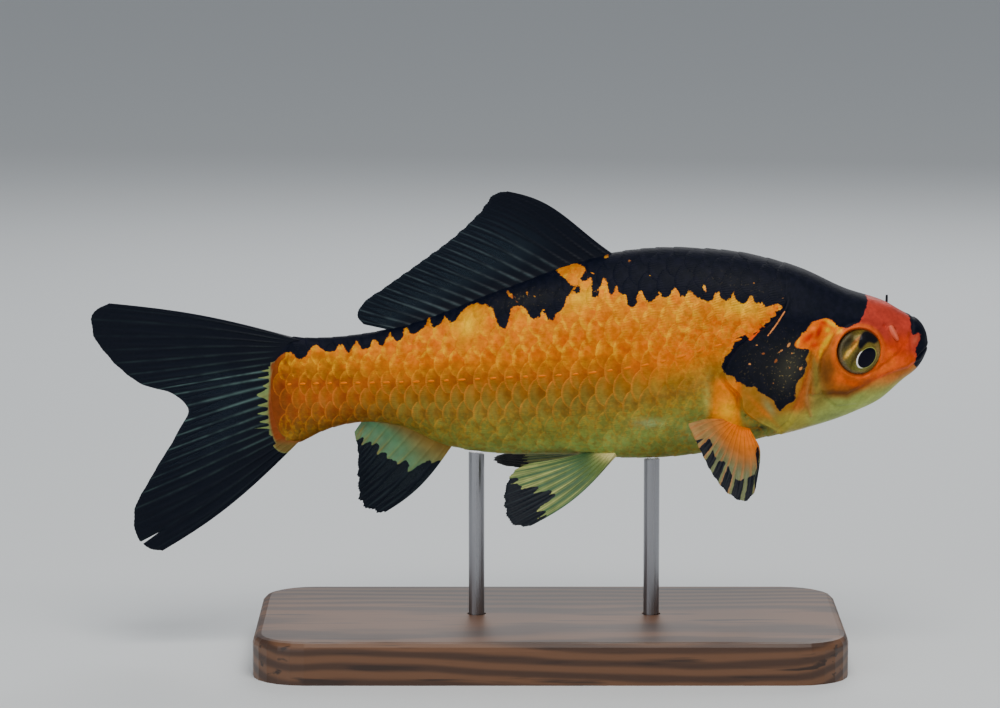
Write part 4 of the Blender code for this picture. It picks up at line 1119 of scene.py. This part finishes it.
def tail_paint(u, v, ridge, phase, place):
    """The tail fin: black, with pale teeth at the root of its middle rays, where its web is clearer."""
    x, level = place[:, 0], seen_level(place)
    reach = 0
    for tooth, tall, long in PALE_TEETH:
        reach = np.maximum(reach, long * bump(level - tooth - 0.1 * (x + 46), tall))
    pale = np.where((level > 42.6) & (level < 56), x + 45.9 + 1.05 * (reach - 0.25), -1)
    tint = over(plain((116, 134, 78), u.shape), 0.5 * ridge, (134, 134, 78))
    orange = rise(within(x, level, TAIL_ORANGE), -0.3, 0.3)
    tint = over(tint, orange, (134, 62, 18))
    tint = over(tint, orange * fall(level, 40.5, 42.5), (104, 86, 40))
    middle = fall(np.abs(u - 0.52), 0.10, 0.34)
    clear = (1 - ridge) * rise(v, 0.1, 0.5) * (0.2 + 0.8 * middle)
    return tint, np.where(orange > 0.5, -1, -np.clip(pale * 0.6, -1, 1)), clear, 0.1 + 0.9 * middle


black_finish = fin_finish("black fin", (14, 27, 38), (66, 80, 84), 0, 0.06)
tail_finish = fin_finish("black tail fin", (5, 18, 32), (88, 116, 112), 0.15, 0.06)

DORSAL_TIPS = (
    (-0.4, 89.6), (-2.8, 88.9), (-5, 86), (-9.6, 81.4), (-16.8, 75.9), (-23.6, 71), (-27.9, 67.6),
    (-28.8, 65.6), (-27.6, 63.9),
)
DORSAL_RAYS, TAIL_RAYS, ANAL_RAYS = 18, 20, 8
PER_RAY, PER_SHORT_RAY = 12, 14  # columns of the sheet for each ray
count = DORSAL_RAYS * PER_RAY + 1
fin(
    "fin_dorsal_skin", profile_line(20.6, -21.2, count, 90, -1.2), flat_line(DORSAL_TIPS, count),
    DORSAL_RAYS, lambda s: (0.9 * (1 - s) ** 4, 0, 1.5 * (1 - s) ** 4), 0.26, 0.9, dark_fin, black_finish,
    ["fin_dorsal"], wave=0.4, ragged=0.6, late=1.6,
)

TAIL_TIPS = (
    (-76.5, 67.5), (-79.6, 65.4), (-79.6, 61.6), (-76.6, 57), (-70.4, 51.9), (-63.6, 49.7), (-61.3, 47.4),
    (-63.2, 43), (-68.4, 34.2), (-72, 26.4), (-71.5, 22.4), (-69.8, 20.2), (-66.6, 19.4),
)
TAIL_SLIT = (224 / 240, 0.26, 0.002)  # where a gap between rays lies, its depth and its half width
count = TAIL_RAYS * PER_RAY + 1
turn = np.radians(np.linspace(86, -86, count))
root_x = -38.9 - 5.6 * (np.cos(turn) ** 2) ** (1 / 2.6)
inner = np.clip(root_x, TAIL_X, None)
half = np.where(turn > 0, through(BACK, inner) - TAIL_LEVEL, TAIL_LEVEL - through(BELLY, inner)) - 0.7
tail_roots = np.stack([root_x, np.zeros(count), TAIL_LEVEL + half * np.sin(turn)], 1)


def tail_bow(share):
    """How far the outermost rays arch: up at the top edge, down at the bottom one, falling to
    nothing a quarter of the way in."""
    return (0, 0, 1.1 * max(1 - 4 * share, 0) - 1.7 * max(4 * share - 3, 0))


fin(
    "fin_tail_skin", tail_roots, flat_line(TAIL_TIPS, count), TAIL_RAYS, tail_bow, 0.26, 0.9,
    tail_paint, tail_finish, ["fin_tail_upper", "fin_tail_lower"], wave=0.5,
    slit=TAIL_SLIT, ragged=0.3,
)


def pale_paint(web_card, ray_card, root_card, dark_at, root_highlight=0):
    """A fin that is pale and clear, with streaks along its rays, and black where dark_at says. Its
    front may carry a painted highlight at its root."""

    def paint_fin(u, v, ridge, phase, place):
        streak = np.maximum(0.35 * ridge, bump(phase, 0.11)) + 0.45 * bump(phase - 0.27, 0.05)
        streak = streak * (0.75 + 0.25 * np.sin(19 * u + 5 * v)) * rise(v, 0.1, 0.6)
        tint = over(plain(web_card, u.shape), streak, ray_card)
        tint = over(tint, fall(v, 0, 0.45 - 0.3 * u), root_card)
        # a painted highlight along the root of the front rays
        tint = over(tint, root_highlight * bump(v - 0.03, 0.07) * fall(u, 0.5, 0.8), (255, 240, 160))
        dark = dark_at(place) + 0.9 * (0.5 - bump(phase, 0.2)) + 0.35 * np.sin(31 * u)
        return tint, dark, (1 - ridge) * rise(v, 0.12, 0.4), 0.6

    return paint_fin


ANAL_TIPS = ((-24.1, 27), (-28, 28.5), (-28.9, 34.5), (-28.8, 39.5), (-29.4, 43))
count = ANAL_RAYS * PER_SHORT_RAY + 1
ANAL_BLACK = (
    (-28.6, 41.2), (-26, 41.1), (-24, 39), (-22, 37.6), (-20, 37.5), (-19.5, 36), (-17, 37), (-14, 37.4),
    (-11, 34), (-24, 22), (-36, 26), (-36, 38), (-31, 41.5),
)
anal_paint = pale_paint(
    (88, 132, 92), (134, 116, 60), (136, 104, 40),
    lambda place: within(place[:, 0], seen_level(place), ANAL_BLACK),
)
pale_finish = fin_finish("pale fin", (14, 24, 32), (40, 52, 58), 0.3, 0.16)
fin(
    "fin_anal_skin", profile_line(-10.6, -27.4, count, -90, -1), flat_line(ANAL_TIPS, count), ANAL_RAYS,
    lambda s: (0.6 * (1 - s) ** 3, 0, -1.2 * (1 - s) ** 3), 0.24, 0.8, anal_paint, pale_finish,
    ["fin_anal"], wave=0.3, ragged=2,
)

PELVIC_TIPS = {
    "right": (
        (3.8, 14.4, 27.3), (0.6, 13.6, 27.7), (-0.9, 11.6, 31.2), (-0.6, 9.4, 34.2), (1.2, 7, 37),
        (4, 5.2, 38),
    ),
    "left": (
        (2.4, 16.6, 33.6), (-1.4, 16.2, 34.2), (-2.8, 14.2, 35.4), (-2.6, 11.4, 36.6), (-1, 8.4, 37.6),
        (2.6, 5.8, 38.2),
    ),
}
PECTORAL_TIPS = (
    (46.2, 18, 37.6), (46, 19.5, 34.6), (44.2, 20.4, 33.2), (41.6, 20, 34.3), (38.8, 18.2, 37.2),
    (36, 15.4, 42.2), (33.8, 12.8, 46.8),
)
PELVIC_BLACK = (
    (1, 34), (2.6, 33), (5.5, 32.2), (8.2, 31.9), (7, 30), (5.6, 29.2), (6.8, 27.8), (5.2, 26.2), (4, 22),
    (-4, 22), (-6, 30), (-2, 33.2),
)
PELVIC_DARK = {
    "right": lambda place: within(place[:, 0], level_of(place), PELVIC_BLACK),
    "left": lambda place: np.maximum(within(place[:, 0], level_of(place), PELVIC_BLACK), 3.4 - place[:, 0]),
}


def pectoral_paint(u, v, ridge, phase, place):
    """The breast fin: orange from its fleshy root, paler towards the margin and the rear, with black
    stripes on the web between the rays' ends and down the front edge."""
    tint = over(plain((180, 102, 36), u.shape), rise(v, 0.38, 0.72), (110, 116, 78))
    tint = over(tint, 0.7 * rise(u, 0.6, 0.95), (176, 122, 62))
    tint = over(tint, 0.5 * bump(phase, 0.14) * rise(v, 0.3, 0.6), (190, 112, 56))
    tint = over(tint, fall(v, 0, 0.5) * (1 - 0.5 * rise(u, 0.7, 1)), (240, 124, 0))
    far_out = (v - 0.75 - 0.04 * np.sin(23 * u)) * 8 - 4 * rise(u, 0.80, 0.92)
    pair = np.abs((u * 9 + 0.25) % 1 - 0.5)
    dark = np.minimum(far_out, 2.6 * (pair - 0.15))
    dark = np.maximum(dark, np.minimum((v - 0.42) * 4, 1.4 - 26 * np.abs(u - 0.07)))
    return tint, dark, (1 - ridge) * rise(v, 0.35, 0.8), 0


orange_finish = fin_finish("orange fin", (22, 26, 34), (30, 34, 40), 0.1, 0.2)


def paired_fin(name, sign, root, lift, tips, rays, bow, flare, paint_fin, finish, node):
    """A fin of the left or right flank, from (x, angle) places of its root and (x, out, z) tips."""
    count = rays * PER_SHORT_RAY + 1
    places = even_points(root, count)
    turn = places[:, 1]
    roots = flank(places[:, 0], turn) + outward(places[:, 0], turn) * lift
    ends = even_points(tips, count)
    roots[:, 1] *= sign
    ends[:, 1] *= sign
    fin(
        name, roots, ends, rays, lambda s: np.array(bow(s)) * (1, sign, 1), 0.24, flare, paint_fin, finish,
        [node], rows=54,
    )


for side, sign in SIDES:
    paired_fin(
        f"fin_pectoral_skin_{side}", sign, ((45.6, -58), (43.4, -50), (41.4, -43)), -0.9, PECTORAL_TIPS, 12,
        lambda s: (1.6 * (1 - s) ** 2, 1.2, 0.8), 0.8, pectoral_paint, orange_finish,
        f"fin_pectoral_{side}",
    )
    paired_fin(
        f"fin_pelvic_skin_{side}", sign, ((21, -71), (18.8, -74), (16.8, -77)), -0.9, PELVIC_TIPS[side], 9,
        lambda s: (0.8 * (1 - s) ** 2, 1, -1.1 * (1 - s) ** 2), 0.6,
        pale_paint((62, 98, 60), (188, 188, 108), (112, 124, 56), PELVIC_DARK[side], 1), pale_finish,
        f"fin_pelvic_{side}",
    )

# ---------------------------------------------------------------- the stand
# A flat base of dark, oiled wood and two steel rods that rise from it to the belly.
wood, tree, shader = finish_of("oiled walnut", Roughness=0.42)
place = socketed(tree, "ShaderNodeTexCoord").outputs["Object"]
moved = socketed(tree, "ShaderNodeMapping", Vector=place, Location=(0, 0.012, 0.035), Scale=(0, 1, 1))
heart = socketed(tree, "ShaderNodeVectorMath", "LENGTH", in0=moved.outputs[0]).outputs["Value"]
bend = times(noise(tree, 22, 4, (0.3, 1, 1)), 0.014)
rings = sums("SINE", times(sums("ADD", heart, bend), 2400))
pores = noise(tree, 700, 2, (0.06, 1, 1))
base_colour = mixed(ramped(rings, -0.9, 0.9), colour(66, 42, 28), colour(104, 70, 46))
feed(shader, Base_Color=mixed(ramped(pores, 0.58, 0.7), base_colour, colour(48, 30, 20)))
bumped(shader, pores, 0.25, 0.0001)

steel, tree, shader = finish_of("satin steel", Base_Color=(0.30, 0.30, 0.32, 1), Metallic=1)
feed(shader, Roughness=ramped(noise(tree, 500, 2, (1, 1, 0.02)), 0.3, 0.7, 0.22, 0.36))

for name, finish in (("stand_base", wood), ("stand_rod_front", steel), ("stand_rod_rear", steel)):
    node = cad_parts[name]
    node.data.materials.clear()
    node.data.materials.append(finish)

# ---------------------------------------------------------------- floor, light and camera
floor_finish = finish_of("pale floor", Base_Color=(0.74, 0.77, 0.79, 1), Roughness=0.8)[0]
bpy.ops.mesh.primitive_plane_add(size=40, location=(0, 0, 0))
floor = bpy.context.object
floor.name = "floor"
floor.data.materials.append(floor_finish)

world = bpy.data.worlds.new("studio")
bpy.context.scene.world = world
world.use_nodes = True
feed(world.node_tree.nodes["Background"], Color=(0.86, 0.90, 0.95, 1), Strength=0.34)


def area_light(name, place, aim, size, power, tone=(1, 1, 1)):
    """A square soft light at a place, turned to a point, both in metres."""
    lamp = bpy.data.lights.new(name, "AREA")
    lamp.shape, lamp.size, lamp.energy, lamp.color = "SQUARE", size, power, tone
    made = bpy.data.objects.new(name, lamp)
    bpy.context.scene.collection.objects.link(made)
    made.location = place
    way = np.array(aim) - np.array(place)
    made.rotation_euler = (math.atan2(math.hypot(way[0], way[1]), -way[2]), 0, math.atan2(-way[0], way[1]))
    return made


area_light("key", (0.10, -0.45, 0.75), (0, 0, 0.055), 0.5, 5.5, (1, 0.97, 0.92))
area_light("fill", (-0.5, -0.6, 0.25), (0, 0, 0.055), 0.6, 1.6, (0.92, 0.96, 1))
area_light("back", (0.1, 0.6, 0.5), (0, 0, 0.06), 0.5, 2)

lens = bpy.data.cameras.new("camera")
camera = bpy.data.objects.new("camera", lens)
bpy.context.scene.collection.objects.link(camera)
bpy.context.scene.camera = camera
tilt, far, wide = math.radians(8), 0.9, 0.1905  # how far off it is, and the width that it sees there
camera.location = (-0.0015, -far * math.cos(tilt), 0.0583 + far * math.sin(tilt))
camera.rotation_euler = (math.pi / 2 - tilt, 0, 0)
lens.sensor_width = 36
lens.lens = lens.sensor_width * far / wide
